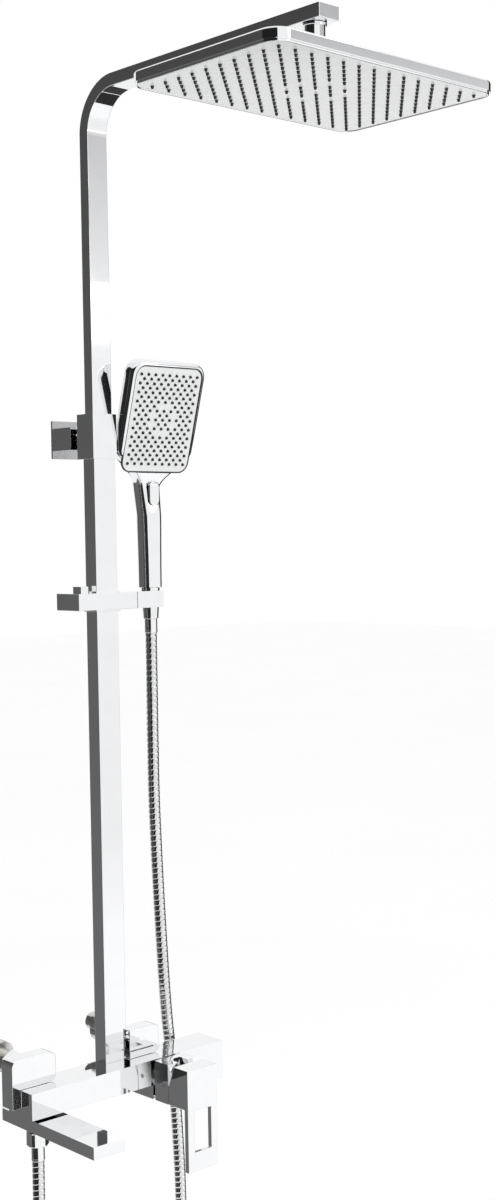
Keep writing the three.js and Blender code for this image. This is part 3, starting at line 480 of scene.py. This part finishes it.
def card(name, bearings, distance, low, high, shades, foot=None):
    """A studio card that only reflections see: an upright screen on an arc between two bearings,
    which brightens or darkens from its foot to its top. With a foot, a flat strip runs in
    along the floor to the foot's distance."""
    angle = np.radians(np.linspace(*bearings, CARD_POINTS))
    reach = np.array([distance, distance] if foot is None else [foot, distance, distance])
    level = np.array([low, high] if foot is None else [low, low, high])
    up = np.broadcast_to(level[:, None], (len(level), CARD_POINTS))
    points = np.stack([np.outer(reach, np.sin(angle)), np.outer(reach, np.cos(angle)), up], -1)
    i, j = np.meshgrid(np.arange(len(level) - 1), np.arange(CARD_POINTS - 1), indexing="ij")
    first = (i * CARD_POINTS + j).ravel()
    faces = np.stack([first, first + 1, first + CARD_POINTS + 1, first + CARD_POINTS], 1)
    mesh = bpy.data.meshes.new(name)
    mesh.from_pydata(points.reshape(-1, 3).tolist(), [], faces.tolist())
    made = linked(name, mesh)
    material = bpy.data.materials.new(name)
    material.use_nodes = True
    tree = material.node_tree
    tree.nodes.clear()
    out = tree.nodes.new("ShaderNodeOutputMaterial")
    glow = tree.nodes.new("ShaderNodeEmission")
    place = tree.nodes.new("ShaderNodeTexCoord")
    split = tree.nodes.new("ShaderNodeSeparateXYZ")
    share = tree.nodes.new("ShaderNodeMapRange")
    ramp = tree.nodes.new("ShaderNodeValToRGB")
    share.inputs["From Min"].default_value = low
    share.inputs["From Max"].default_value = high
    for stop, shade_of_grey in zip(ramp.color_ramp.elements, shades):
        stop.color = (shade_of_grey, shade_of_grey, shade_of_grey * 1.01, 1)
    tree.links.new(place.outputs["Object"], split.inputs["Vector"])
    tree.links.new(split.outputs["Z"], share.inputs["Value"])
    tree.links.new(share.outputs["Result"], ramp.inputs["Fac"])
    tree.links.new(ramp.outputs["Color"], glow.inputs["Color"])
    tree.links.new(glow.outputs["Emission"], out.inputs["Surface"])
    mesh.materials.append(material)
    for ray in ("camera", "diffuse", "shadow", "transmission", "volume_scatter"):
        setattr(made, f"visible_{ray}", False)


class SHOWER_OT_stage(Operator):
    """Makes the camera, the pale floor, the lamp and the cards that the chrome reflects"""
    bl_idname = "shower.stage"
    bl_label = "Stage"

    def execute(self, context):
        scene = context.scene
        scene.view_settings.view_transform = "Standard"
        world = bpy.data.worlds.new("studio")
        world.use_nodes = True
        background = world.node_tree.nodes["Background"]
        background.inputs["Color"].default_value = (1, 1, 1, 1)
        background.inputs["Strength"].default_value = 1.0
        scene.world = world
        scene.camera = self.camera()

        floor_z = CAD_BOX[0][2] - FLOOR_GAP
        self.floor(floor_z)
        light("key", energy=14, size=1.6, place=(1.4, -2.6, 1.9), aim=(0, -0.1, 0.3))
        ground = floor_z + 0.02
        card("left_card", (-66, -14), 2.6, ground, 2.8, (0.15, 0.035), foot=0.45)
        card("near_left_card", (-146, -66), 2.6, ground, 2.8, (0.03, 0.01), foot=0.45)
        card("right_card", (64, 112), 2.8, ground, 2.8, (0.03, 0.01), foot=0.6)
        card("back_card", (20, 62), 2.7, ground, 0.15, (0.05, 0.03), foot=0.9)
        card("high_card", (117, 157), 2.6, 1.25, 2.05, (0.93, 0.33))
        return {"FINISHED"}

    def camera(self):
        """The camera, turned about the upright axis, pitched down and rolled about its aim."""
        turn, pitch, roll = np.radians([CAMERA_TURN, CAMERA_PITCH, CAMERA_ROLL])
        level = np.cos(pitch)
        ahead = Vector((-np.sin(turn) * level, np.cos(turn) * level, -np.sin(pitch)))
        right = Vector((np.cos(turn), np.sin(turn), 0))
        up = right.cross(ahead)
        side = np.cos(roll) * right + np.sin(roll) * up
        top = -np.sin(roll) * right + np.cos(roll) * up
        data = bpy.data.cameras.new("camera")
        data.sensor_width = 36
        data.sensor_fit = "AUTO"
        data.lens = CAMERA_LENS
        made = linked("camera", data)
        turned_axes = Matrix((side, top, -ahead)).transposed().to_4x4()
        made.matrix_world = Matrix.Translation(CAMERA_PLACE) @ turned_axes
        return made

    def floor(self, level):
        """A wide pale floor, almost without gloss."""
        corners = [(x * FLOOR_REACH, y * FLOOR_REACH, level)
                   for x, y in ((-1, -1), (1, -1), (1, 1), (-1, 1))]
        mesh = bpy.data.meshes.new("floor")
        mesh.from_pydata(corners, [], [(0, 1, 2, 3)])
        material, tree, shader = node_tree("pale_floor")
        cloud = texture(tree, "ShaderNodeTexNoise", 1.5, Detail=3)
        tint(tree, shader, cloud.outputs["Fac"], (0.975, 0.975, 0.975), (0.985, 0.985, 0.985))
        shader.inputs["Roughness"].default_value = 0.9
        shader.inputs["Specular IOR Level"].default_value = 0.1
        mesh.materials.append(material)
        linked("floor", mesh)


# ---------------------------------------------------------------- hose and its fittings

# The hose's middle line in millimetres: from the handset down behind the valve, round the loop
# and up to the outlet under the spout.
HOSE_LINE = np.array([
    (118.7, -60, 476.1), (118.7, -60, 446), (119, -59.5, 400), (120, -58, 340), (122, -56, 280),
    (126, -53.5, 220), (131, -50.5, 160), (137, -47, 100), (143.5, -43, 45), (150, -39.5, 0),
    (156, -38, -40), (160.5, -38, -85), (163, -39.5, -140), (163.5, -42, -200), (161, -45, -260),
    (155, -48.5, -315), (144, -52.5, -365), (127, -56.5, -408), (104, -60.5, -439), (76, -64, -456),
    (46, -66.5, -460), (16, -68.5, -452), (-12, -70, -431), (-35, -71, -398), (-51, -71.6, -355),
    (-60.5, -72, -305), (-65.5, -72, -250), (-67.5, -72, -195), (-68, -72, -150), (-68, -72, -103),
]) * MM
HOSE_SPLITS = (0.0, 0.088, 0.176)  # where its lengths begin, from the handset
LINE_STEPS = 24
PATH_STRIDE = 6
SAMPLES_PER_TURN = 11
HOSE_SIDES = 24
TANGENT_STEP = 0.2 * MM
SLEEVE_EDGE = 0.7 * MM


def smooth_line(points, steps):
    """A curve through the points: between two of them it is the cubic that leaves and arrives
    along the chord of the neighbours on either side, at the speed that centripetal spacing
    gives."""
    points = np.concatenate([[2 * points[0] - points[1]], points, [2 * points[-1] - points[-2]]])
    gap = np.sqrt(np.linalg.norm(np.diff(points, axis=0), axis=1))
    a, b, c, d = points[:-3], points[1:-2], points[2:-1], points[3:]
    g0, g1, g2 = gap[:-2, None], gap[1:-1, None], gap[2:, None]
    leave = ((b - a) / g0 - (c - a) / (g0 + g1) + (c - b) / g1) * g1
    arrive = ((c - b) / g1 - (d - b) / (g1 + g2) + (d - c) / g2) * g1
    t = np.linspace(0, 1, steps, endpoint=False)[None, :, None]
    line = ((2 * t**3 - 3 * t**2 + 1) * b[:, None]
            + (t**3 - 2 * t**2 + t) * leave[:, None]
            + (3 * t**2 - 2 * t**3) * c[:, None] + (t**3 - t**2) * arrive[:, None])
    return np.concatenate([line.reshape(-1, 3), points[-2:-1]])


def along(line, distance):
    """Points of a line at the given distances from its start, and the unit directions there."""
    steps = np.linalg.norm(np.diff(line, axis=0), axis=1)
    run = np.concatenate([[0], np.cumsum(steps)])

    def at(place):
        return np.stack([np.interp(place, run, line[:, k]) for k in range(3)], 1)

    way = at(distance + TANGENT_STEP) - at(distance - TANGENT_STEP)
    return at(distance), way / np.linalg.norm(way, axis=1)[:, None]


def wound_tube(line, start, end, sizes):
    """A steel-wound hose: at distance s and angle f its radius is R - g (2 p - 1)^6, where the
    phase p is the fraction of s / pitch - f / 2 pi, so that round beads with a narrow groove
    climb it like a screw."""
    count = int(round((end - start) / (sizes.pitch / SAMPLES_PER_TURN))) + 1
    s = np.linspace(start, end, count)
    centre, way = along(line, s)
    level = np.array([0.0, 1.0, 0.0])
    side = level - way * (way @ level)[:, None]
    side /= np.linalg.norm(side, axis=1)[:, None]
    over = np.cross(way, side)
    angle = np.arange(HOSE_SIDES) * 2 * np.pi / HOSE_SIDES
    phase = (s[:, None] / sizes.pitch - angle[None, :] / (2 * np.pi)) % 1
    bead = np.abs(2 * phase - 1)
    radius = sizes.radius - sizes.groove * bead**6
    ring = (np.cos(angle)[None, :, None] * side[:, None]
            + np.sin(angle)[None, :, None] * over[:, None])
    return centre, centre[:, None] + radius[:, :, None] * ring


def sleeve_profile(radius, height, edge, lips=()):
    """(radius, height) pairs of a turned sleeve: rounded rims, and round lips that stand out at
    the given heights."""
    arc = edge_arc(edge, 3)
    rows = [(radius - i, h) for i, h in arc]
    swell = np.linspace(0, np.pi, 7)
    for level, width, rise in lips:
        rows += [(radius + rise * np.sin(a), level - width / 2 * np.cos(a)) for a in swell]
    rows += [(radius - i, height - h) for i, h in arc[::-1]]
    return rows


class SHOWER_OT_hose(Operator):
    """Makes the wound hose in three lengths, with the nuts and sleeves at its two ends"""
    bl_idname = "shower.hose"
    bl_label = "Hose"

    def execute(self, context):
        sizes = context.scene.shower_hose
        line = smooth_line(HOSE_LINE, LINE_STEPS)
        total = np.linalg.norm(np.diff(line, axis=0), axis=1).sum()
        lengths = (("hose_loop", ("mixer", "slider"), self.outlet_fittings()),
                   ("hose_under_holder", ("slider", "holder"), []),
                   ("hose_at_handset", ("holder", "handset"), self.handset_fittings()))
        marks = (total, *reversed(HOSE_SPLITS))
        for (name, bodies, fittings), end, start in zip(lengths, marks, marks[1:]):
            centre, rings = wound_tube(line, start, end, sizes)
            made = mesh_object(name, [solid(rings)], "hose_steel", crease=60)
            if name == "hose_loop":
                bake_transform(made)
            else:
                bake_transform(made)
            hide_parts("shower_hose")
            path = centre[::PATH_STRIDE].tolist()
            if (len(centre) - 1) % PATH_STRIDE:
                path.append(centre[-1].tolist())
        return {"FINISHED"}

    def outlet_fittings(self):
        """The hexagonal nut under the spout and the sleeve that grips the hose."""
        height, flat = girth("hose_outlet_nut")
        bore, rim, corner, chamfer = 7.8 * MM, 11.2 * MM, 12.8 * MM, 1.2 * MM
        rows = [(bore, 0), (rim, 0), (corner, chamfer), (corner, height - chamfer),
                (rim, height), (bore, height)]
        nut = turned("hose_outlet_nut", "outlet_hex_nut", "mixer", rows,
                     flats=6, flat_depth=min(flat, 11.5 * MM))
        height, radius = girth("hose_outlet_ferrule")
        rows = sleeve_profile(radius, height, SLEEVE_EDGE, [(2.2 * MM, 1.6 * MM, 0.3 * MM)])
        sleeve = turned("hose_outlet_ferrule", "outlet_hose_sleeve", "mixer", rows, sides=40)
        return [nut, sleeve]

    def handset_fittings(self):
        """The cone nut below the handset and the sleeve that grips the hose."""
        height, _ = girth("hose_cone_nut")
        bottom, top, edge, nick = 9.3 * MM, 11.4 * MM, 0.8 * MM, 0.2 * MM
        rows = [(bottom - edge, 0), (bottom - nick, nick), (bottom, edge)]
        rows += [(bottom + (top - bottom) * t, edge + (height - 2 * edge) * t)
                 for t in np.linspace(0.05, 0.95, 6)]
        rows += [(top, height - edge), (top - nick, height - nick), (top - edge, height)]
        cone = turned("hose_cone_nut", "handset_cone_nut", "handset", rows)
        height, radius = girth("hose_handset_ferrule")
        rows = sleeve_profile(radius - 0.2 * MM, height, SLEEVE_EDGE,
                              [(2.4 * MM, 1.6 * MM, 0.2 * MM)])
        collar = turned("hose_handset_ferrule", "handset_hose_sleeve", "handset", rows, sides=40)
        return [cone, collar]


# ---------------------------------------------------------------- mixer, lever and spout

class SHOWER_OT_mixer(Operator):
    """Finishes the mixer's bar and valve, and the two inlet covers"""
    bl_idname = "shower.mixer"
    bl_label = "Mixer"

    def execute(self, context):
        edges = context.scene.shower_edges
        softened("mixer_body", "mixer_casting", edges.casting)
        softened("left_inlet_shroud", "left_inlet_cover", edges.cover)
        softened("right_inlet_shroud", "right_inlet_cover", edges.cover)
        return {"FINISHED"}


class SHOWER_OT_lever(Operator):
    """Finishes the lever's housing and its slotted handle"""
    bl_idname = "shower.lever"
    bl_label = "Lever"

    def execute(self, context):
        edges = context.scene.shower_edges
        softened("lever_housing", "lever_housing_block", edges.casting)
        softened("lever", "lever_handle_plate", edges.casting)
        return {"FINISHED"}


class SHOWER_OT_spout(Operator):
    """Finishes the flat swivelling spout"""
    bl_idname = "shower.spout"
    bl_label = "Spout"

    def execute(self, context):
        edges = context.scene.shower_edges
        softened("spout", "spout_bar", edges.casting)
        return {"FINISHED"}


# ---------------------------------------------------------------- riser, arm and wall bracket

ARM_DEPTH = 14.75 * MM
ARM_BEND = 60 * MM  # to the outside of the bend
ARM_CORNER = 0.9 * MM
ARM_RIM = 0.8 * MM


class SHOWER_OT_riser(Operator):
    """Finishes the lower riser, the bent arm, the clamp and the wall bracket"""
    bl_idname = "shower.riser"
    bl_label = "Riser"

    def execute(self, context):
        edges = context.scene.shower_edges
        softened("lower_riser", "lower_riser_tube", edges.casting)
        softened("riser_clamp", "riser_clamp_block", edges.casting)
        softened("bracket_box", "bracket_block", edges.casting)
        softened("wall_plate", "bracket_plate", edges.casting)
        self.bent_arm()
        return {"FINISHED"}

    def bent_arm(self):
        """The arm: a rounded rectangle carried up the riser, round a quarter circle and out to
        the arm's end, where its rim is rounded."""
        low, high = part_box("upper_riser_arm")
        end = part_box("arm_end_cap")[0][1]
        width = high[0] - low[0]
        x = (low[0] + high[0]) / 2
        bend = ARM_BEND - ARM_DEPTH / 2
        back, top = high[1] - ARM_DEPTH / 2, high[2] - ARM_DEPTH / 2
        turn = np.linspace(0, np.pi / 2, 33)
        rim = edge_arc(ARM_RIM, 3)[::-1]
        straight = np.array([(back, low[2]), (back, top - bend - 1e-4)])
        arc = np.stack([back - bend + bend * np.cos(turn), top - bend + bend * np.sin(turn)], 1)
        out = np.stack([end + rim[:, 1], np.full(len(rim), top)], 1)
        line = np.concatenate([straight, arc, out])
        angle = np.concatenate([np.zeros(len(straight)), turn, np.full(len(rim), np.pi / 2)])
        inset = np.concatenate([np.zeros(len(straight) + len(arc)), rim[:, 0]])
        flat = outline(width - 2 * inset, ARM_DEPTH - 2 * inset, ARM_CORNER, 5)
        away = np.stack([np.zeros_like(angle), np.cos(angle), np.sin(angle)], 1)
        middle_line = np.concatenate([np.full((len(line), 1), x), line], 1)
        rings = (middle_line[:, None] + flat[:, :, :1] * np.array([1.0, 0, 0])
                 + flat[:, :, 1:] * away[:, None])
        arm = mesh_object("bent_arm", [solid(rings)], "chrome")
        claim(even(arm), "arm", "chrome", "upper_riser_arm", "arm_end_cap")


# ---------------------------------------------------------------- overhead shower

RAIN_CORNER = 20 * MM
RAIN_THICKNESS = 12.9 * MM
RAIN_ROUNDING = 2.2 * MM
RAIN_STEP = np.array((10.41, 9.81)) * MM
RAIN_SHIFT = np.array((0.9, 0.4, 0.85)) * MM  # of the nozzles from the plate's middle
RING_BORE, RING_EDGE = 9 * MM, 0.5 * MM


def nozzle_rings(radius, height):
    """A soft nozzle pointing along -z: a foot, a waist, a round shoulder and a sunk mouth, as
    shares of its radius and height."""
    shares = ((1.18, 0), (1, 0.12), (0.86, 0.55), (0.78, 0.88), (0.55, 1), (0.3, 1), (0.26, 0.8))
    return [(radius * r, -height * h) for r, h in shares]


def nozzle_field(centres, rows, sides, origin, x, y, z):
    """One nozzle's rings copied to every centre of the field, and the faces of all of them."""
    one = lathe_rings(rows, sides)
    count, around = one.shape[:2]
    spots = np.concatenate([centres, np.zeros((len(centres), 1))], 1)
    cloud = one.reshape(1, -1, 3) + spots[:, None]
    faces = np.array(tube_faces(count, around, caps=False))
    shift = np.arange(len(centres)) * count * around
    quads = (faces[None] + shift[:, None, None]).reshape(-1, 4).tolist()
    ends = np.arange(sides)
    feet = (ends[::-1][None] + shift[:, None]).tolist()
    tips = ((count - 1) * around + ends[None] + shift[:, None]).tolist()
    return placed(cloud.reshape(-1, 3), origin, x, y, z), quads + feet + tips


class SHOWER_OT_head(Operator):
    """Makes the rectangular rain head, its spray plate and nozzles, and the ball joint above it"""
    bl_idname = "shower.head"
    bl_label = "Rain head"

    def execute(self, context):
        sizes = context.scene.shower_head
        low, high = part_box("head_shell")
        plan = (high[0] - low[0], high[1] - low[1], RAIN_CORNER)
        x, y = (low[0] + high[0]) / 2, (low[1] + high[1]) / 2
        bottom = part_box("head_face")[0][2]
        top = bottom + RAIN_THICKNESS

        band = in_mm([(1.2, 0), (0.35, 0.05), (0.0, 0.45)], low[2])
        band += [(i, top - h) for i, h in edge_arc(RAIN_ROUNDING, 5)[::-1]]
        rings = placed(slab_rings(*plan, band, 12), (x, y, 0))
        boss = in_mm([(15, -1), (15, 2.2), (14.4, 2.8), (13.6, 3.0), (6, 3.0)], top)
        boss_rings = placed(lathe_rings(boss, 48), (x, middle("ball_cup")[1], 0))
        shell = mesh_object("rain_head_shell", [solid(rings), solid(boss_rings)], "chrome")
        claim(even(shell), "overhead", "chrome", "head_shell")

        lip = in_mm([(1.6, 2.35), (1.55, 1.1), (1.7, 0.5), (2.1, 0.12), (2.6, 0.0), (3.1, 0.12),
                     (3.45, 0.5), (3.55, 1.3), (3.55, 2.35)], bottom)
        rings = placed(slab_rings(*plan, lip, 12), (x, y, 0))
        rim = mesh_object("rain_head_rim", [solid(rings, closed=True)], "chrome", crease=50)
        claim(rim, "overhead", "chrome", "head_face")

        plate = in_mm([(4.2, 0.75), (3.7, 0.85), (3.4, 1.1), (3.4, 2.3)], bottom)
        rings = placed(slab_rings(*plan, plate, 12), (x, y, 0))
        face = mesh_object("rain_spray_plate", [solid(rings)], "spray_face")
        claim(even(face), "overhead", "spray_face", "head_face", "head_nozzle_mat")

        self.nozzles(sizes, (x, y, bottom) + RAIN_SHIFT)
        self.joint()
        return {"FINISHED"}

    def nozzles(self, sizes, origin):
        """Every second place of a grid, like one colour of a chessboard, with nine places left
        free round the middle."""
        i, j = np.meshgrid(np.arange(-sizes.columns, sizes.columns + 1),
                           np.arange(-sizes.rows, sizes.rows + 1), indexing="ij")
        i, j = i.ravel(), j.ravel()
        far, near = np.maximum(abs(i), abs(j)), np.minimum(abs(i), abs(j))
        free = (far == 0) | ((far == 3) & (near == 1))
        keep = ((i + j) % 2 == 0) & ~free
        centres = np.stack([i[keep], j[keep]], 1) * RAIN_STEP
        rows = nozzle_rings(sizes.nozzle_radius, sizes.nozzle_height)
        axes = (1, 0, 0), (0, 1, 0), (0, 0, 1)
        points, faces = nozzle_field(centres, rows, 8, origin, *axes)
        made = mesh_object("rain_nozzles", [(points, faces)], "nozzle_silicone", crease=70)
        claim(made, "overhead", "nozzle_silicone", "head_nozzle_mat")

    def joint(self):
        """The pieces between the arm and the head: the ball's cup and the ring nut."""
        softened("ball_cup", "ball_joint_cup", 0.8 * MM)
        height, radius = girth("arm_ring_nut")
        rows = [(RING_BORE, 0), (radius - RING_EDGE, 0), (radius, RING_EDGE),
                (radius, height - RING_EDGE), (radius - RING_EDGE, height), (RING_BORE, height)]
        turned("arm_ring_nut", "arm_lock_ring", "arm", rows)


# ---------------------------------------------------------------- slider and holder

class SHOWER_OT_slider(Operator):
    """Finishes the slider on the riser, its release button and the handset's holder"""
    bl_idname = "shower.slider"
    bl_label = "Slider"

    def execute(self, context):
        edges = context.scene.shower_edges
        softened("slider_body", "slider_block", edges.casting)
        softened("slider_sleeve", "slider_liner", edges.casting)
        softened("slider_button", "slider_release_button", edges.casting)
        softened("handset_holder", "handset_fork", edges.casting)
        return {"FINISHED"}


# ---------------------------------------------------------------- handset

HANDSET_PLACE = np.array([118.7, -60.0, 530.2]) * MM
FACE_FORWARD, FACE_RISE = 29.2 * MM, 194.4 * MM
HANDLE_WIDTH, HANDLE_DEPTH, HANDLE_CORNER = 27 * MM, 24 * MM, 9 * MM
HANDLE_LENGTH = 84 * MM
HANDLE_TAPER, TAPER_RUN = 1.2 * MM, 70 * MM
HANDLE_SWELL, SWELL_FROM = 0.5 * MM, 40 * MM
HEAD_WIDTH, HEAD_HEIGHT, HEAD_CORNER, HEAD_THICK = 111 * MM, 136 * MM, 18 * MM, 20 * MM
HEAD_RIM = 6 * MM
NECK_WIDTH, NECK_RUN, NECK_BLEND = HANDLE_WIDTH + 3 * MM, 12 * MM, 46 * MM
SHOULDER_LEAD, SHOULDER_RUN, SHOULDER_POWER = 20 * MM, 50 * MM, 1.35
LEAN_FROM, LEAN_RUN = 60 * MM, 60 * MM
RECESS_WIDTH, RECESS_HEIGHT = HEAD_WIDTH - 10 * MM, HEAD_HEIGHT - 10 * MM
RECESS_DEPTH, RECESS_CORNER = 3.0 * MM, 13.5 * MM
RECESS = (RECESS_WIDTH, RECESS_HEIGHT, RECESS_CORNER)
BUTTON = (15 * MM, 28 * MM, 6.5 * MM)
POCKET = (17 * MM, 30 * MM, 7 * MM)
BUTTON_AXES = (1, 0, 0), (0, 0, 1), (0, -1, 0)  # across, up, and out of the handle's front


def face_frame(tilt):
    """The handset face's middle and its axes: across, up the face, and out of it."""
    across = np.array([1.0, 0, 0])
    up = np.array([0, -np.sin(tilt), np.cos(tilt)])
    out = np.array([0, -np.cos(tilt), -np.sin(tilt)])
    centre = HANDSET_PLACE + (0, -FACE_FORWARD, FACE_RISE)
    return centre, across, up, out


def ease(t):
    """A smooth step from 0 to 1: 3 t^2 - 2 t^3, held at both ends."""
    t = np.clip(t, 0, 1)
    return t * t * (3 - 2 * t)


def drawn_in(beyond, radius):
    """How far a quarter circle has drawn in at a distance past its start: r - sqrt(r^2 - d^2)."""
    d = np.clip(beyond, 0, radius)
    return radius - np.sqrt(np.maximum(radius**2 - d**2, 0))


def handset_loft(tilt):
    """The handset's body: rounded rectangles carried up a line that is upright in the handle and
    leans forward in the head. Their width runs from the handle's to the head's along a smooth
    step, and at the top corner it falls by the head's corner circle; their depth and corner
    radius run between the handle's and the head's."""
    centre, across, up, out = face_frame(tilt)
    foot = HEAD_HEIGHT / 2
    shoulder = foot - HEAD_CORNER

    # The handle's sections are upright, about the handset's own axis.
    handle = np.linspace(0, HANDLE_LENGTH, 15)
    zero = np.zeros_like(handle)
    swell = HANDLE_SWELL * ease((handle - SWELL_FROM) / (HANDLE_LENGTH - SWELL_FROM))
    handle_mid = HANDSET_PLACE + np.stack([zero, zero, handle], 1)
    handle_w = HANDLE_WIDTH - HANDLE_TAPER * (1 - ease(handle / TAPER_RUN)) + 2 * swell

    # The head's sections are square to the leaning face.
    crown = shoulder + HEAD_CORNER * np.sin(np.linspace(0, np.pi / 2, 14))
    head = np.concatenate([np.linspace(-foot - NECK_RUN, shoulder - 4 * MM, 44), crown])
    t = (head + foot + NECK_RUN) / NECK_BLEND
    thick = HEAD_THICK + (HANDLE_DEPTH - HEAD_THICK) * (1 - ease(t))
    grow = ease((head + foot + SHOULDER_LEAD) / SHOULDER_RUN) ** SHOULDER_POWER
    full = HEAD_WIDTH - 2 * drawn_in(head - shoulder, HEAD_CORNER)
    head_w = np.minimum(full, NECK_WIDTH + (HEAD_WIDTH - NECK_WIDTH) * grow)
    head_d = thick - 2 * drawn_in(head - (foot - HEAD_RIM), HEAD_RIM)
    head_mid = centre + head[:, None] * up - (thick / 2)[:, None] * out
    head_corner = HANDLE_CORNER + (HEAD_RIM - HANDLE_CORNER) * ease(t / 1.6)

    # The neck joins them: the lean comes in gradually from the handle's end into the head.
    middle_line = np.concatenate([handle_mid, head_mid])
    width = np.concatenate([handle_w, head_w])
    depth = np.concatenate([np.full_like(handle, HANDLE_DEPTH), head_d])
    corner = np.concatenate([np.full_like(handle, HANDLE_CORNER), head_corner])
    rise = middle_line[:, 2] - HANDSET_PLACE[2]
    lean = ease((rise - LEAN_FROM) / LEAN_RUN) * tilt
    outs = np.stack([np.zeros_like(lean), -np.cos(lean), -np.sin(lean)], 1)
    flat = outline(width, depth, corner, 9)
    return middle_line[:, None] + flat[:, :, :1] * across - flat[:, :, 1:] * outs[:, None]


def on_face(rings, tilt):
    """Rings made about the z axis, moved onto the handset's face."""
    return placed(rings, *face_frame(tilt))


class SHOWER_OT_handset(Operator):
    """Makes the handset: body, a black ring of painted shade round its face, spray plate, nozzles,
    button
    """
    bl_idname = "shower.handset"
    bl_label = "Handset"

    def execute(self, context):
        sizes = context.scene.shower_handset
        tilt = sizes.tilt
        place = middle("handset_button")
        place[1] = HANDSET_PLACE[1] - HANDLE_DEPTH / 2
        self.body(tilt, place)

        # Painted shade: a black ring fills the groove between the chrome rim and the spray plate,
        # standing in for the shade and dark reflections in that groove.
        groove_shade_profile = in_mm([(0.1, -2.95), (0.1, -0.9), (0.35, -0.6), (1.3, -0.6), (1.5, -0.9),
                      (1.5, -2.95)])
        ring = solid(on_face(slab_rings(*RECESS, groove_shade_profile, 10), tilt), closed=True)
        groove_shade_ring = mesh_object("handset_groove_painted_shade", [ring], "black_plastic")
        claim(even(groove_shade_ring), "handset", "black_plastic", "handset_face")

        plate = in_mm([(1.45, -2.95), (1.45, -1.5), (1.7, -1.2), (2.3, -1.1)])
        rings = on_face(slab_rings(*RECESS, plate, 10), tilt)
        face = mesh_object("handset_spray_plate", [solid(rings)], "spray_face")
        claim(even(face), "handset", "spray_face", "handset_face", "handset_nozzle_mat")

        self.nozzles(sizes)
        self.button(place)
        return {"FINISHED"}

    def body(self, tilt, button_place):
        """The handset's body, with the face's recess and the button's pocket cut from it."""
        body = mesh_object("handset_body", [solid(handset_loft(tilt))], "chrome", crease=40)
        recess = slab_rings(*RECESS, [(0, -RECESS_DEPTH), (0, 8 * MM)], 10)
        pocket = slab_rings(*POCKET, [(0, -6 * MM), (0, 16 * MM)], 10)
        shapes = (("recess_tool", on_face(recess, tilt)),
                  ("button_tool", placed(pocket, button_place, *BUTTON_AXES)))
        tools = [mesh_object(name, [solid(rings)], "chrome") for name, rings in shapes]
        for tool in tools:
            carve = body.modifiers.new("carve", "BOOLEAN")
            carve.operation = "DIFFERENCE"
            carve.solver = "EXACT"
            carve.object = tool
        applied(body)
        for tool in tools:
            bpy.data.objects.remove(tool)
        shade(body.data, crease=35)
        rounded(body, 0.5 * MM, segments=2, sharp=50)
        claim(body, "handset", "chrome", "handset_shell")

    def nozzles(self, sizes):
        """Rows half a pitch apart, of nine and eight nozzles in turn, with gaps near the middle."""
        k, r = np.meshgrid(np.arange(-8, 9), np.arange(-10, 11))
        k, r = k.ravel(), r.ravel()
        gap = (abs(r) == 3) & (abs(k) < 2) | (abs(r) == 1) & (abs(k) == 3)
        keep = ((k + r) % 2 == 0) & ~gap
        centres = np.stack([k[keep], r[keep]], 1) * sizes.nozzle_pitch / 2
        rows = [(radius, -level) for radius, level in nozzle_rings(sizes.nozzle_radius, 2.0 * MM)]
        centre, across, up, out = face_frame(sizes.tilt)
        points, faces = nozzle_field(centres, rows, 8, centre - 1.15 * MM * out, across, up, out)
        made = mesh_object("handset_nozzles", [(points, faces)], "nozzle_silicone", crease=70)
        claim(made, "handset", "nozzle_silicone", "handset_nozzle_mat")

    def button(self, place):
        """The spray button: a rounded upright plate, crowned in its pocket."""
        rows = in_mm([(0, -3.2), (0, -0.6), (0.25, -0.2), (0.8, 0.1), (2.2, 0.5), (4.5, 0.8)])
        rings = placed(slab_rings(*BUTTON, rows, 8), place, *BUTTON_AXES)
        made = mesh_object("handset_push_button", [solid(rings)], "chrome")
        claim(even(made), "handset_button", "chrome", "handset_button")


# ---------------------------------------------------------------- pieces that keep their solids

class SHOWER_OT_fittings(Operator):
    """Gives the unions, nuts, seals, cartridge and the rest of the solids their finishes"""
    bl_idname = "shower.fittings"
    bl_label = "Fittings"

    def execute(self, context):
        for node, slot in SLOT_OF_NODE.items():
            part = frame["nodes"][node]
            for place in part.material_slots:
                place.material = MATERIALS[slot]
        return {"FINISHED"}


# ---------------------------------------------------------------- panel and registration

STEPS = (SHOWER_OT_stage, SHOWER_OT_hose, SHOWER_OT_mixer, SHOWER_OT_lever, SHOWER_OT_spout,
         SHOWER_OT_riser, SHOWER_OT_head, SHOWER_OT_slider, SHOWER_OT_handset, SHOWER_OT_fittings)
GROUPS = {"shower_colours": ShowerColours, "shower_hose": HoseSizes, "shower_head": HeadSizes,
          "shower_handset": HandsetSizes, "shower_edges": EdgeSizes}


class SHOWER_PT_panel(Panel):
    """Lists the column's sizes, colours and making steps"""
    bl_idname = "SHOWER_PT_panel"
    bl_label = "Shower column"
    bl_space_type = "VIEW_3D"
    bl_region_type = "UI"
    bl_category = "Shower"

    def draw(self, context):
        for name, group in GROUPS.items():
            box = self.layout.box()
            for key in group.__annotations__:
                box.prop(getattr(context.scene, name), key)
        for step in STEPS:
            self.layout.operator(step.bl_idname)


def register():
    for group in (*GROUPS.values(), *STEPS, SHOWER_PT_panel):
        bpy.utils.register_class(group)
    for name, group in GROUPS.items():
        setattr(bpy.types.Scene, name, PointerProperty(type=group))


def unregister():
    for name in GROUPS:
        delattr(bpy.types.Scene, name)
    for group in (SHOWER_PT_panel, *reversed(STEPS), *GROUPS.values()):
        bpy.utils.unregister_class(group)


def main():
    """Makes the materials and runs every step."""
    register()
    make_materials(bpy.context.scene.shower_colours)
    for step in STEPS:
        group, name = step.bl_idname.split(".")
        getattr(getattr(bpy.ops, group), name)()


if __name__ == "__main__":
    main()
